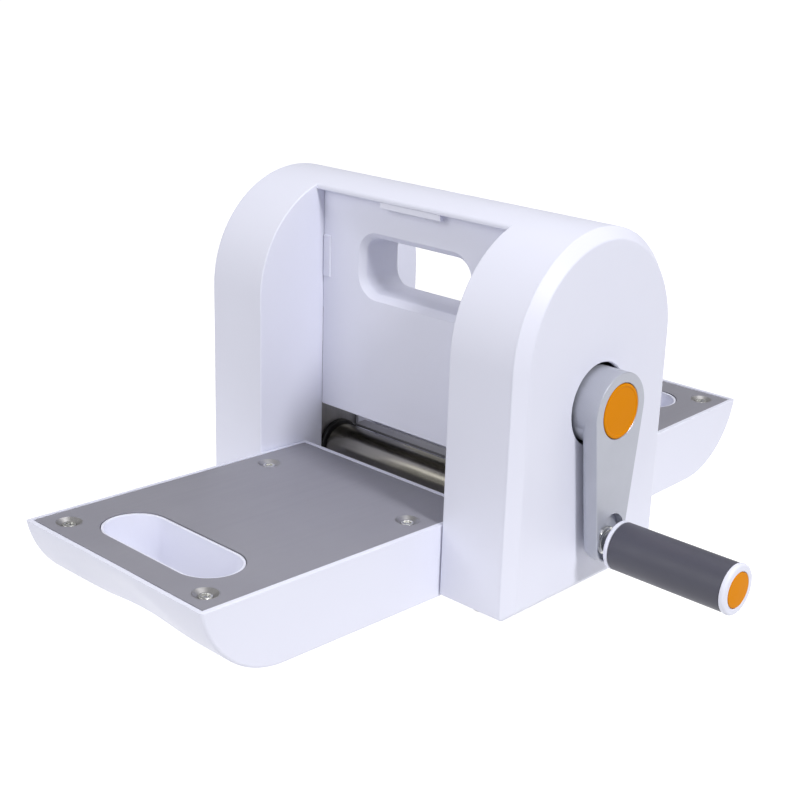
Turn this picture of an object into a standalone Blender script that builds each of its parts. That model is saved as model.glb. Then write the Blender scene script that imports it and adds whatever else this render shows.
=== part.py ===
"""Hand-cranked die cutting machine with two folding platforms.

Metres, +Z up. The origin is the centre of the base, level with the bottom of the towers.
+X runs along the rollers to the crank, -Y to the front platform.
"""

import math

import bmesh
import bpy
from mathutils import Matrix, Vector

GAP = 0.0003

# Sides of a round piece: large, middling and small.
FINE = 28
ROUND = 16
SMALL = 8

# Towers: D-shaped housings left and right of the feed throat.
TOWER_INNER_X = 0.0835
TOWER_SEAM_X = 0.1305
TOWER_OUTER_X = 0.1384
TOWER_RADIUS = 0.075
ARC_CENTRE_Z = 0.155
SHELL_WALL = 0.0025
COVER_BEVEL = 0.0072
COVER_HOLE_RADIUS = 0.0261
ARC_STEPS = 26

# Centre wall between the towers, with the carrying hole and the top bar.
WALL_X = TOWER_INNER_X - GAP
WALL_FACE_Y = 0.0186
WALL_BOTTOM_Z = 0.070
WALL_TOP_Z = 0.2222
PANEL_WALL = 0.0025
PANEL_SPLIT_Y = 0.00015
HOLE_HALF_X = 0.0455
HOLE_LOW_Z = 0.1585
HOLE_HIGH_Z = 0.1955
HOLE_CORNER = 0.012
BAR_HALF_Y = 0.0255
BAR_LOW_Z = 0.2225
SIDE_OPENING_TOP_Z = 0.140
SIDE_STOP = {"low": (0.0763, 0.0010, 0.162), "high": (0.0832, 0.0215, 0.191)}

# Throat notch in the inner wall of each tower, and the pan under the rollers.
NOTCH_HALF_Y = 0.0189
NOTCH_LOW_Z = 0.0083
PAN_HALF_Y = 0.020
PAN_HEIGHT = 0.008
BED_Y = (0.0150, 0.0250)
BED_Z = (0.0450, 0.0468)

# Gear train: module 2, the pinion above the two roller gears.
MODULE = 0.002
ROLLER_TEETH = 25
PINION_TEETH = 13
LOWER_ROLLER_Z = 0.0346
UPPER_ROLLER_Z = LOWER_ROLLER_Z + MODULE * ROLLER_TEETH
CRANK_Z = UPPER_ROLLER_Z + MODULE * (ROLLER_TEETH + PINION_TEETH) / 2
GEAR_START_X = 0.094
GEAR_END_X = 0.106
BACKLASH = 0.0003
PRESSURE_ANGLE = math.radians(20.0)

ROLLER_RADIUS = 0.0156
ROLLER_HALF_LENGTH = 0.0815
JOURNAL_RADIUS = 0.008
BUSH_RADIUS = 0.012
LOWER_FLANGE_RADIUS = 0.0180
UPPER_FLANGE_RADIUS = 0.0156
FLANGE_START_X = 0.0822

# Steel inside the towers.
FRAME_START_X = 0.0863
FRAME_END_X = 0.0913
FRAME_HALF_Y = 0.046
FRAME_LOW_Z = 0.0032
FRAME_HIGH_Z = 0.148
GEAR_PLATE_START_X = 0.110
GEAR_PLATE_END_X = 0.113
SPACERS = ((-0.036, 0.014), (0.036, 0.014), (0.0, 0.147))
SPACER_RADIUS = 0.004
TIE_BARS = {"lower_tie_bar": (0.0125, 0.0036), "upper_tie_bar": (0.130, 0.006)}

# Crank arm and grip.
HUB_RADIUS = 0.0240
HUB_START_X = 0.132
SHAFT_END_X = 0.1400
SHAFT_TAP_X = 0.125
ARM_BACK_X = 0.142
ARM_FRONT_X = 0.155
ARM_HEAD_RADIUS = 0.0238
ARM_END_RADIUS = 0.0135
ARM_BACK_BEVEL = 0.0055
GRIP_Z = 0.0378
SPOT_FACE_RADIUS = 0.0142
SPOT_FACE_X = 0.150
CAP_RADIUS = 0.0172
CAP_START_X = 0.1526
CAP_END_X = 0.1556
CRANK_SCREW_HEAD = (0.0072, 0.1458, 0.1505)
CRANK_SCREW_SHANK = (0.0023, 0.1262)
SPINDLE_RADIUS = 0.005
SPINDLE_X = (0.1453, 0.2375)
COLLAR_RADIUS = 0.007
GRIP_NUT = (0.0085, 0.2325, 0.2370)
NUT_POCKET = (0.0105, 0.2320)
GRIP_RING = (0.1603, 0.1634, 0.0155)
GRIP_SLEEVE = (0.1637, 0.2410, 0.0153)
GRIP_END_CAP = (0.2413, 0.2449, 0.01575)
GRIP_BADGE = (0.2434, 0.2454, 0.0110)

# Folding platforms: s runs outward from the hinge, t up, both across the tilt.
HINGE_Y = 0.0545
HINGE_Z = 0.0187
TRAY_TILT = math.radians(1.48)
TRAY_HALF_X = 0.0825
TRAY_TOP = 0.0283
TRAY_BOTTOM = -0.0208
TRAY_INNER_RADIUS = 0.0183
TRAY_END_CENTRE = (0.1463, 0.0404)
TRAY_END_RADIUS = 0.0612
TRAY_WALL = 0.003
PLATE_THICKNESS = 0.003
SLOT_CENTRE_S = 0.1616
SLOT_HALF_X = 0.0550
SLOT_RADIUS = 0.0214
SLOT_WALL = 0.0022
TRAY_SCREWS = ((-0.0637, 0.0311), (0.0637, 0.0311), (-0.0637, 0.1882), (0.0637, 0.1882))
SCREW_HEAD_RADIUS = 0.0042
SCREW_HEAD_HEIGHT = 0.0010
SCREW_SOCKET_RADIUS = 0.0026
SCREW_SOCKET_DEPTH = 0.0007
SCREW_SHANK_RADIUS = 0.0018
SCREW_END = 0.0115
SINK_RADIUS = 0.0080
SINK_FLOOR_RADIUS = 0.0047
SINK_DEPTH = 0.0023
POST_RADIUS = 0.0045
HINGE_PIN_RADIUS = 0.004
SCALLOP_RADIUS = 0.283
SCALLOP_DEPTH = 0.0045
SCALLOP_SLOPE = math.radians(52.0)

# Snap latches under the front and rear edges of the top bar.
LATCH_X = (-0.025, 0.027)
LATCH_Y = (0.0212, 0.0252)
LATCH_Z = (0.2186, 0.2220)
LATCH_TONGUE_HALF_X = 0.010
LATCH_TONGUE = (0.0128, 0.0214, 0.2160, 0.2188)
LATCH_STOP_MARGIN = 0.004
LATCH_STOP_LOW_Z = 0.2110
LATCH_STOP_HIGH_Z = 0.2170

FOOT_RADIUS = 0.009
FOOT_BOTTOM_Z = -0.0036
FOOT_PLACES = {
    "front_left_foot": (-0.108, -0.060),
    "front_right_foot": (0.108, -0.060),
    "rear_left_foot": (-0.108, 0.060),
    "rear_right_foot": (0.108, 0.060),
}

# Finishes: colour, roughness, metallic.
FINISHES = {
    "white_plastic": ((0.84, 0.84, 0.87), 0.38, 0.0),
    "grey_plate": ((0.24, 0.24, 0.27), 0.45, 0.0),
    "steel": ((0.52, 0.51, 0.50), 0.32, 1.0),
    "polished_roller": ((0.36, 0.33, 0.30), 0.24, 1.0),
    "black_plastic": ((0.02, 0.02, 0.022), 0.45, 0.0),
    "silver_paint": ((0.50, 0.51, 0.54), 0.35, 0.6),
    "grip_rubber": ((0.075, 0.080, 0.090), 0.6, 0.0),
    "orange_plastic": ((0.83, 0.30, 0.03), 0.4, 0.0),
    "rubber": ((0.05, 0.05, 0.055), 0.8, 0.0),
}

ALONG_X = Matrix(((0, 0, 1, 0), (1, 0, 0, 0), (0, 1, 0, 0), (0, 0, 0, 1)))
ALONG_Y = Matrix(((1, 0, 0, 0), (0, 0, 1, 0), (0, -1, 0, 0), (0, 0, 0, 1))).inverted()
ALONG_Z = Matrix.Identity(4)


def clear_scene():
    for old in list(bpy.data.objects):
        bpy.data.objects.remove(old, do_unlink=True)


def new_collection(name):
    made = bpy.data.collections.new(name)
    bpy.context.scene.collection.children.link(made)
    return made


def finish_named(name):
    """The Principled material of one finish, made on first use."""
    if name in bpy.data.materials:
        return bpy.data.materials[name]
    colour, roughness, metallic = FINISHES[name]
    made = bpy.data.materials.new(name)
    made.use_nodes = True
    shader = made.node_tree.nodes["Principled BSDF"]
    shader.inputs["Base Color"].default_value = (*colour, 1.0)
    shader.inputs["Roughness"].default_value = roughness
    shader.inputs["Metallic"].default_value = metallic
    return made


clear_scene()
PARTS = new_collection("die_cutting_machine")
CUTTERS = new_collection("cutters")


def add_object(name, mesh, finish):
    """A part in its finish, or a cutter when there is none."""
    made = bpy.data.objects.new(name, mesh)
    if finish is None:
        CUTTERS.objects.link(made)
        made.hide_render = True
        made.display_type = "WIRE"
        return made
    PARTS.objects.link(made)
    material = finish_named(finish)
    mesh.materials.clear()
    mesh.materials.append(material)
    mesh.shade_smooth()
    mesh.set_sharp_from_angle(angle=math.radians(30.0))
    return made


def prism(name, outlines, low, high, direction, finish=None):
    """A flat outline, holes after it, extruded from low to high along one axis."""
    curve = bpy.data.curves.new(name, "CURVE")
    curve.dimensions = "2D"
    curve.fill_mode = "BOTH"
    curve.extrude = (high - low) / 2
    for outline in outlines:
        spline = curve.splines.new("POLY")
        spline.points.add(len(outline) - 1)
        for point, (across, up) in zip(spline.points, outline):
            point.co = (across, up, 0.0, 1.0)
        spline.use_cyclic_u = True
    guide = bpy.data.objects.new(name + "_outline", curve)
    CUTTERS.objects.link(guide)
    bpy.context.view_layer.update()
    evaluated = guide.evaluated_get(bpy.context.evaluated_depsgraph_get())
    mesh = bpy.data.meshes.new_from_object(evaluated)
    bpy.data.objects.remove(guide, do_unlink=True)
    shell = bmesh.new()
    shell.from_mesh(mesh)
    bmesh.ops.remove_doubles(shell, verts=shell.verts, dist=1e-6)
    if len(outlines) == 1:
        bmesh.ops.dissolve_limit(
            shell, angle_limit=math.radians(0.5), verts=shell.verts, edges=shell.edges
        )
    bmesh.ops.translate(shell, verts=shell.verts, vec=(0.0, 0.0, (low + high) / 2))
    bmesh.ops.transform(shell, verts=shell.verts, matrix=direction)
    bmesh.ops.recalc_face_normals(shell, faces=shell.faces)
    shell.to_mesh(mesh)
    shell.free()
    mesh.name = name
    return add_object(name, mesh, finish)


def block(name, low, high, finish=None):
    """A box between two corners."""
    low, high = Vector(low), Vector(high)
    mesh = bpy.data.meshes.new(name)
    shell = bmesh.new()
    bmesh.ops.create_cube(shell, size=1.0)
    size = high - low
    bmesh.ops.scale(shell, vec=size, verts=shell.verts)
    bmesh.ops.translate(shell, vec=(low + high) / 2, verts=shell.verts)
    shell.to_mesh(mesh)
    shell.free()
    return add_object(name, mesh, finish)


def rod(name, radius, low, high, centre, direction, finish=None, sides=ROUND, end_radius=None):
    """A cylinder from low to high along one axis through centre, or a cone with an end radius."""
    mesh = bpy.data.meshes.new(name)
    shell = bmesh.new()
    last = radius if end_radius is None else end_radius
    bmesh.ops.create_cone(
        shell, cap_ends=True, segments=sides, radius1=radius, radius2=last, depth=high - low
    )
    offset = (centre[0], centre[1], (low + high) / 2)
    bmesh.ops.translate(shell, vec=offset, verts=shell.verts)
    bmesh.ops.transform(shell, matrix=direction, verts=shell.verts)
    shell.to_mesh(mesh)
    shell.free()
    return add_object(name, mesh, finish)


def turned(name, profile, centre, direction, finish=None, steps=ROUND):
    """A Screw of (radius, height) points: the outer side from top to bottom, then any bore upward."""
    mesh = bpy.data.meshes.new(name)
    points = [(radius, 0.0, height) for radius, height in profile]
    closed = profile[0][0] > 0.0
    edges = [(i, i + 1) for i in range(len(points) - 1)]
    if closed:
        edges.append((len(points) - 1, 0))
    mesh.from_pydata(points, edges, [])
    made = add_object(name, mesh, finish)
    spin = made.modifiers.new("turn", "SCREW")
    spin.axis = "Z"
    spin.steps = steps
    spin.render_steps = steps
    spin.use_merge_vertices = True
    spin.merge_threshold = 0.00005
    made.matrix_world = direction @ Matrix.Translation((centre[0], centre[1], 0.0))
    bpy.context.view_layer.update()
    return made


def boolean(target, tool, operation):
    step = target.modifiers.new(operation.lower(), "BOOLEAN")
    step.operation = operation
    step.solver = "EXACT"
    step.object = tool
    return target


def cut(target, *tools):
    for tool in tools:
        boolean(target, tool, "DIFFERENCE")
    return target


def join(target, *tools):
    for tool in tools:
        boolean(target, tool, "UNION")
    return target


def bevel_edges_at(target, axis, value, width, segments):
    """Rounds only the edges that lie in the plane where that coordinate has the value."""
    mesh = target.data
    weights = mesh.attributes.new("bevel_weight_edge", "FLOAT", "EDGE")
    for edge, weight in zip(mesh.edges, weights.data):
        ends = [mesh.vertices[index].co[axis] for index in edge.vertices]
        weight.value = 1.0 if all(abs(end - value) < 1e-6 for end in ends) else 0.0
    step = target.modifiers.new("soft_edge", "BEVEL")
    step.limit_method = "WEIGHT"
    step.width = width
    step.segments = segments
    return target


def round_all(target, width, segments=2, angle=40.0):
    step = target.modifiers.new("soft_edges", "BEVEL")
    step.limit_method = "ANGLE"
    step.angle_limit = math.radians(angle)
    step.width = width
    step.segments = segments
    return target


def arc(centre, radius, start, end, steps):
    """Points on an arc from start to end, angles in degrees from the first axis."""
    points = []
    for step in range(steps + 1):
        angle = math.radians(start + (end - start) * step / steps)
        points.append(
            (centre[0] + radius * math.cos(angle), centre[1] + radius * math.sin(angle))
        )
    return points


def circle(centre, radius, steps=ROUND):
    return arc(centre, radius, 0.0, 360.0 * (steps - 1) / steps, steps - 1)


def rounded_box(low, high, radius, steps=4):
    """A rectangle with round corners, anticlockwise."""
    corners = (
        ((high[0] - radius, low[1] + radius), -90.0),
        ((high[0] - radius, high[1] - radius), 0.0),
        ((low[0] + radius, high[1] - radius), 90.0),
        ((low[0] + radius, low[1] + radius), 180.0),
    )
    points = []
    for centre, start in corners:
        points += arc(centre, radius, start, start + 90.0, steps)
    return points


def tower_outline(inset=0.0):
    """The D of a tower in (y, z): upright sides and a half-round top."""
    radius = TOWER_RADIUS - inset
    bottom = [(-radius, inset), (radius, inset)]
    return bottom + arc((0.0, ARC_CENTRE_Z), radius, 0.0, 180.0, ARC_STEPS)


def stretch(side, start, end):
    """The two x limits of a piece on the left (-1) or right (+1), lowest first."""
    return sorted((side * start, side * end))


def build_tower(side, word):
    """One housing: a cup open outward, the cover that closes it and two rubber feet."""
    shell = prism(
        word + "_tower_shell",
        [tower_outline()],
        *stretch(side, TOWER_INNER_X, TOWER_SEAM_X),
        ALONG_X,
        "white_plastic",
    )
    cavity = prism(
        word + "_tower_cavity",
        [tower_outline(SHELL_WALL)],
        *stretch(side, TOWER_INNER_X + SHELL_WALL, TOWER_SEAM_X + 0.005),
        ALONG_X,
    )
    notch_x = stretch(side, TOWER_INNER_X - 0.002, TOWER_INNER_X + SHELL_WALL + 0.002)
    notch = block(
        word + "_notch",
        (notch_x[0], -NOTCH_HALF_Y, NOTCH_LOW_Z),
        (notch_x[1], NOTCH_HALF_Y, SIDE_OPENING_TOP_Z),
    )
    cut(shell, cavity, notch)
    for front in (-1, 1):
        bore = rod(
            f"{word}_pin_bore_{front}",
            HINGE_PIN_RADIUS + GAP,
            *notch_x,
            (front * HINGE_Y, HINGE_Z),
            ALONG_X,
        )
        cut(shell, bore)
    for foot, (x, y) in FOOT_PLACES.items():
        if x * side > 0:
            cut(shell, rod(foot + "_bore", 0.0033, -0.002, 0.005, (x, y), ALONG_Z))
    build_cover(side, word)


def build_cover(side, word):
    cover = prism(
        word + "_tower_cover",
        [tower_outline()],
        *stretch(side, TOWER_SEAM_X + GAP, TOWER_OUTER_X),
        ALONG_X,
        "white_plastic",
    )
    bevel_edges_at(cover, 0, side * TOWER_OUTER_X, COVER_BEVEL, 3)
    recess = prism(
        word + "_cover_recess",
        [tower_outline(0.006)],
        *stretch(side, TOWER_SEAM_X - 0.006, TOWER_OUTER_X - 0.0028),
        ALONG_X,
    )
    spigot = prism(
        word + "_cover_spigot",
        [tower_outline(SHELL_WALL + GAP), tower_outline(SHELL_WALL + GAP + 0.003)],
        *stretch(side, TOWER_SEAM_X - 0.0035, TOWER_SEAM_X + 0.0015),
        ALONG_X,
    )
    join(cover, spigot)
    cut(cover, recess)
    if side > 0:
        hub_hole = rod(
            "hub_hole",
            COVER_HOLE_RADIUS,
            TOWER_SEAM_X - 0.01,
            TOWER_OUTER_X + 0.005,
            (0.0, CRANK_Z),
            ALONG_X,
            sides=FINE,
        )
        cut(cover, hub_hole)


def build_feet():
    neck, barb = 0.003, 0.0046
    for name, (x, y) in FOOT_PLACES.items():
        profile = (
            (0.0, 0.0052),
            (neck, 0.0052),
            (barb, SHELL_WALL + GAP),
            (neck, SHELL_WALL + GAP),
            (neck, -GAP),
            (FOOT_RADIUS, -GAP),
            (FOOT_RADIUS - 0.0006, FOOT_BOTTOM_Z),
            (0.0, FOOT_BOTTOM_Z),
        )
        turned(name, profile, (x, y), ALONG_Z, "rubber")


def hole_outline(grow=0.0):
    """The carrying hole through the wall, in (x, z)."""
    return rounded_box(
        (-HOLE_HALF_X - grow, HOLE_LOW_Z - grow),
        (HOLE_HALF_X + grow, HOLE_HIGH_Z + grow),
        HOLE_CORNER + grow,
    )


def facing(front, near, far):
    """Two y limits on the front (-1) or rear (+1), lowest first."""
    return sorted((front * near, front * far))


def build_panel(front, word):
    """Half of the centre wall: its face, the rims it stands on and half of the hole's tunnel."""
    face = facing(front, PANEL_SPLIT_Y, WALL_FACE_Y)
    panel = block(
        word + "_centre_panel",
        (-WALL_X, face[0], WALL_BOTTOM_Z),
        (WALL_X, face[1], WALL_TOP_Z),
        "white_plastic",
    )
    inside = facing(front, -0.002, WALL_FACE_Y - PANEL_WALL)
    pocket = block(
        word + "_panel_pocket",
        (-WALL_X + PANEL_WALL, inside[0], WALL_BOTTOM_Z - 0.01),
        (WALL_X - PANEL_WALL, inside[1], WALL_TOP_Z - PANEL_WALL),
    )
    tunnel_y = facing(front, -0.004, WALL_FACE_Y + 0.004)
    tunnel = prism(word + "_tunnel_wall", [hole_outline(PANEL_WALL)], *negated(tunnel_y), ALONG_Y)
    cut(pocket, tunnel)
    journal_room = block(
        word + "_journal_room",
        (-WALL_X - 0.004, inside[0], WALL_BOTTOM_Z - 0.01),
        (WALL_X + 0.004, inside[1], SIDE_OPENING_TOP_Z),
    )
    hole = prism(
        word + "_carrying_hole",
        [hole_outline()],
        *negated(facing(front, -0.006, WALL_FACE_Y + 0.006)),
        ALONG_Y,
    )
    window_y = facing(front, WALL_FACE_Y - PANEL_WALL - 0.002, WALL_FACE_Y + 0.002)
    window = block(
        word + "_latch_window",
        (-LATCH_TONGUE_HALF_X - GAP, window_y[0], LATCH_TONGUE[2] - GAP),
        (LATCH_TONGUE_HALF_X + GAP, window_y[1], LATCH_TONGUE[3] + GAP),
    )
    cut(panel, pocket, journal_room, hole, window)
    for side in (-1, 1):
        stop_x = stretch(side, SIDE_STOP["low"][0], SIDE_STOP["high"][0])
        stop_y = facing(front, WALL_FACE_Y - 0.001, SIDE_STOP["high"][1])
        stop = block(
            f"{word}_side_stop_{side}",
            (stop_x[0], stop_y[0], SIDE_STOP["low"][2]),
            (stop_x[1], stop_y[1], SIDE_STOP["high"][2]),
        )
        round_all(stop, 0.0015)
        join(panel, stop)


def negated(limits):
    """The same limits measured along -Y, lowest first."""
    return sorted(-limit for limit in limits)


def build_top_bar():
    """The grip over the carrying hole: it follows the towers' arc from edge to edge."""
    half_angle = math.degrees(math.asin(BAR_HALF_Y / TOWER_RADIUS))
    top = arc((0.0, ARC_CENTRE_Z), TOWER_RADIUS, 90.0 - half_angle, 90.0 + half_angle, 16)
    outline = [(-BAR_HALF_Y, BAR_LOW_Z), (BAR_HALF_Y, BAR_LOW_Z)] + top
    prism("top_bar", [outline], -WALL_X, WALL_X, ALONG_X, "white_plastic")


def build_latch(front, word, carrier):
    """A snap tab under the bar's edge with a tongue through the wall's window and a stop inside."""
    tab_y = facing(front, *LATCH_Y)
    latch = block(
        word + "_latch",
        (LATCH_X[0], tab_y[0], LATCH_Z[0]),
        (LATCH_X[1], tab_y[1], LATCH_Z[1]),
        "white_plastic",
    )
    tongue_y = facing(front, LATCH_TONGUE[0], LATCH_TONGUE[1])
    tongue = block(
        word + "_latch_tongue",
        (-LATCH_TONGUE_HALF_X, tongue_y[0], LATCH_TONGUE[2]),
        (LATCH_TONGUE_HALF_X, tongue_y[1], LATCH_TONGUE[3]),
    )
    stop_y = facing(front, LATCH_TONGUE[0], WALL_FACE_Y - PANEL_WALL - GAP)
    stop_half_x = LATCH_TONGUE_HALF_X + LATCH_STOP_MARGIN
    stop = block(
        word + "_latch_stop",
        (-stop_half_x, stop_y[0], LATCH_STOP_LOW_Z),
        (stop_half_x, stop_y[1], LATCH_STOP_HIGH_Z),
    )
    join(latch, tongue, stop)
    attach(carrier, latch, tongue, stop)


def build_base_pan():
    """A channel that ties the towers under the lower roller."""
    pan = block(
        "base_pan", (-WALL_X, -PAN_HALF_Y, 0.0), (WALL_X, PAN_HALF_Y, PAN_HEIGHT), "white_plastic"
    )
    trough = block(
        "pan_trough",
        (-WALL_X + PANEL_WALL, -PAN_HALF_Y + PANEL_WALL, PANEL_WALL),
        (WALL_X - PANEL_WALL, PAN_HALF_Y - PANEL_WALL, PAN_HEIGHT + 0.005),
    )
    cut(pan, trough)


def build_bed_plate():
    """A grey strip behind the lower roller that carries the tail of a pressed stack."""
    low, high = (-WALL_X, BED_Y[0], BED_Z[0]), (WALL_X, BED_Y[1], BED_Z[1])
    block("rear_bed_plate", low, high, "grey_plate")


def build_side_frame(side, word):
    """The steel plate that carries the rollers inside a tower."""
    outline = rounded_box((-FRAME_HALF_Y, FRAME_LOW_Z), (FRAME_HALF_Y, FRAME_HIGH_Z), 0.010, 4)
    holes = [
        circle((0.0, LOWER_ROLLER_Z), BUSH_RADIUS + GAP),
        circle((0.0, UPPER_ROLLER_Z), BUSH_RADIUS + GAP),
    ]
    if side > 0:
        holes.append(circle((0.0, CRANK_Z), JOURNAL_RADIUS + 0.002 + GAP))
    prism(
        word + "_side_frame",
        [outline] + holes,
        *stretch(side, FRAME_START_X, FRAME_END_X),
        ALONG_X,
        "steel",
    )
    roller_levels = {
        "lower": (LOWER_ROLLER_Z, LOWER_FLANGE_RADIUS),
        "upper": (UPPER_ROLLER_Z, UPPER_FLANGE_RADIUS),
    }
    for level, (height, flange) in roller_levels.items():
        bush(f"{word}_{level}_bush", side, height, flange, FLANGE_START_X, FRAME_START_X - GAP)


def bush(name, side, height, flange, flange_start, flange_end):
    """A flanged sleeve bearing: the flange faces the throat, the barrel sits in the frame."""
    bore = JOURNAL_RADIUS + GAP
    end = FRAME_END_X + 0.001
    profile = [
        (BUSH_RADIUS, end),
        (BUSH_RADIUS, flange_end),
        (flange, flange_end),
        (flange, flange_start),
        (bore, flange_start),
        (bore, end),
    ]
    if side < 0:
        profile = [(radius, -x) for radius, x in reversed(profile)]
    turned(name, profile, (0.0, height), ALONG_X, "black_plastic")


def build_gear_plate():
    """The outer bearing plate for the crank shaft, its three spacers and both shaft bushes."""
    outline = rounded_box((-0.044, 0.006), (0.044, 0.156), 0.010, 4)
    hole = circle((0.0, CRANK_Z), JOURNAL_RADIUS + 0.002 + GAP)
    prism("gear_plate", [outline, hole], GEAR_PLATE_START_X, GEAR_PLATE_END_X, ALONG_X, "steel")
    frame_lobe = rod("frame_lobe", 0.010, FRAME_START_X, FRAME_END_X, SPACERS[2], ALONG_X)
    join(bpy.data.objects["right_side_frame"], frame_lobe)
    for number, place in enumerate(SPACERS, 1):
        low, high = FRAME_END_X + GAP, GEAR_PLATE_START_X - GAP
        rod(f"gear_plate_spacer_{number}", SPACER_RADIUS, low, high, place, ALONG_X, "steel")
    for name, start, end in (
        ("crank_inner_bush", FRAME_START_X, FRAME_END_X + 0.0012),
        ("crank_outer_bush", GEAR_PLATE_START_X - 0.0012, GEAR_PLATE_END_X + 0.001),
    ):
        bore, outer = JOURNAL_RADIUS + GAP, JOURNAL_RADIUS + 0.002
        profile = ((outer, end), (outer, start), (bore, start), (bore, end))
        turned(name, profile, (0.0, CRANK_Z), ALONG_X, "black_plastic")


def build_tie_bars():
    for name, (height, radius) in TIE_BARS.items():
        half = FRAME_START_X - GAP
        rod(name, radius, -half, half, (0.0, height), ALONG_X, "steel")


def involute(angle):
    return math.tan(angle) - angle


def gear_outline(teeth, height):
    """Teeth with involute flanks about (0, height), the first pointing straight up."""
    pitch = MODULE * teeth / 2
    base = pitch * math.cos(PRESSURE_ANGLE)
    radii = (pitch - 1.25 * MODULE, pitch - 0.2 * MODULE, pitch + 0.92 * MODULE)
    half_pitch_angle = (math.pi * MODULE / 2 - BACKLASH) / (2 * pitch)
    half_angles = []
    for radius in radii:
        tilt = math.acos(min(1.0, base / radius))
        half_angles.append(half_pitch_angle + involute(PRESSURE_ANGLE) - involute(tilt))
    points = []
    for tooth in range(teeth):
        centre = math.pi / 2 + 2 * math.pi * tooth / teeth
        flank = list(zip(radii, half_angles))
        for radius, half in flank:
            points.append((centre - half, radius))
        for radius, half in reversed(flank):
            points.append((centre + half, radius))
    return [(r * math.cos(a), height + r * math.sin(a)) for a, r in points]


def gear(name, teeth, height, body):
    bore = circle((0.0, height), JOURNAL_RADIUS + GAP)
    made = prism(
        name, [gear_outline(teeth, height), bore], GEAR_START_X, GEAR_END_X, ALONG_X, "steel"
    )
    attach(body, made)


def build_roller(word, height, body):
    """A steel roller with a journal at each end; the right one also carries the gear."""
    left, right = FRAME_END_X + 0.003, GEAR_END_X + 0.001
    profile = (
        (0.0, right),
        (JOURNAL_RADIUS, right),
        (JOURNAL_RADIUS, ROLLER_HALF_LENGTH),
        (ROLLER_RADIUS - 0.0006, ROLLER_HALF_LENGTH),
        (ROLLER_RADIUS, ROLLER_HALF_LENGTH - 0.0006),
        (ROLLER_RADIUS, -ROLLER_HALF_LENGTH + 0.0006),
        (ROLLER_RADIUS - 0.0006, -ROLLER_HALF_LENGTH),
        (JOURNAL_RADIUS, -ROLLER_HALF_LENGTH),
        (JOURNAL_RADIUS, -left),
        (0.0, -left),
    )
    roller = turned(
        word + "_roller", profile, (0.0, height), ALONG_X, "polished_roller", steps=FINE
    )
    attach(body, roller)
    gear(word + "_roller_gear", ROLLER_TEETH, height, body)


def axis_empty(name, place, rotation=(0.0, 0.0, 0.0), parent=None):
    made = bpy.data.objects.new(name, None)
    PARTS.objects.link(made)
    made.location = place
    made.rotation_euler = rotation
    bpy.context.view_layer.update()
    if parent is not None:
        attach(parent, made)
    return made


def attach(parent, *children):
    """Parents pieces to an axis without moving them."""
    bpy.context.view_layer.update()
    for child in children:
        child.parent = parent
        child.matrix_parent_inverse = parent.matrix_world.inverted()


def arm_outline():
    """Two circles and their outer tangents, in (y, z)."""
    length = CRANK_Z - GRIP_Z
    lean = math.degrees(math.asin((ARM_HEAD_RADIUS - ARM_END_RADIUS) / length))
    head = arc((0.0, CRANK_Z), ARM_HEAD_RADIUS, -lean, 180.0 + lean, 18)
    foot = arc((0.0, GRIP_Z), ARM_END_RADIUS, 180.0 + lean, 360.0 - lean, 8)
    return head + foot


def build_crank(body):
    """Shaft, pinion, arm with its hub, the hub screw and the round cap over it."""
    centre, end = (0.0, CRANK_Z), (0.0, GRIP_Z)
    start, tap = FRAME_START_X + 0.0005, CRANK_SCREW_SHANK[0] + GAP
    shaft_profile = (
        (0.0, SHAFT_END_X),
        (JOURNAL_RADIUS - 0.0006, SHAFT_END_X),
        (JOURNAL_RADIUS, SHAFT_END_X - 0.0006),
        (JOURNAL_RADIUS, start),
        (0.0, start),
    )
    shaft = turned("crank_shaft", shaft_profile, centre, ALONG_X, "steel")
    screw_bore = rod(
        "shaft_tap", tap, SHAFT_TAP_X, SHAFT_END_X + 0.002, centre, ALONG_X, sides=SMALL
    )
    cut(shaft, screw_bore)
    attach(body, shaft, screw_bore)
    gear("crank_pinion", PINION_TEETH, CRANK_Z, body)

    arm = prism("crank_arm", [arm_outline()], ARM_BACK_X, ARM_FRONT_X, ALONG_X, "silver_paint")
    bevel_edges_at(arm, 0, ARM_BACK_X, ARM_BACK_BEVEL, 2)
    hub = rod("arm_hub", HUB_RADIUS, HUB_START_X, SPOT_FACE_X, centre, ALONG_X, sides=FINE)
    front = ARM_FRONT_X + 0.01
    head_radius, head_start, head_end = CRANK_SCREW_HEAD
    shaft_room = SHAFT_END_X + GAP
    tools = [
        rod("arm_bore", JOURNAL_RADIUS + GAP, 0.120, shaft_room, centre, ALONG_X),
        rod("cap_seat", CAP_RADIUS + GAP, CAP_START_X - GAP, front, centre, ALONG_X, sides=FINE),
        rod("screw_seat", head_radius + 0.0002, head_start - GAP, front, centre, ALONG_X),
        rod("screw_way", tap, SHAFT_END_X - 0.002, head_start + 0.001, centre, ALONG_X, sides=SMALL),
        rod("spot_face", SPOT_FACE_RADIUS, SPOT_FACE_X, front, end, ALONG_X, sides=FINE),
        rod("pin_bore", SPINDLE_RADIUS + GAP, SPINDLE_X[0] - 0.0004, front, end, ALONG_X),
    ]
    join(arm, hub)
    cut(arm, *tools)
    attach(body, arm, hub, *tools)

    shank, screw_end = CRANK_SCREW_SHANK
    screw_profile = (
        (0.0, head_end),
        (head_radius - 0.0004, head_end),
        (head_radius, head_end - 0.0005),
        (head_radius, head_start),
        (shank, head_start),
        (shank, screw_end),
        (0.0, screw_end),
    )
    screw = turned("crank_screw", screw_profile, centre, ALONG_X, "steel")
    attach(body, screw)
    cap = rod(
        "crank_cap", CAP_RADIUS, CAP_START_X, CAP_END_X, centre, ALONG_X, "orange_plastic", FINE
    )
    bevel_edges_at(cap, 0, CAP_END_X, 0.0006, 1)
    attach(body, cap)


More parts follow.
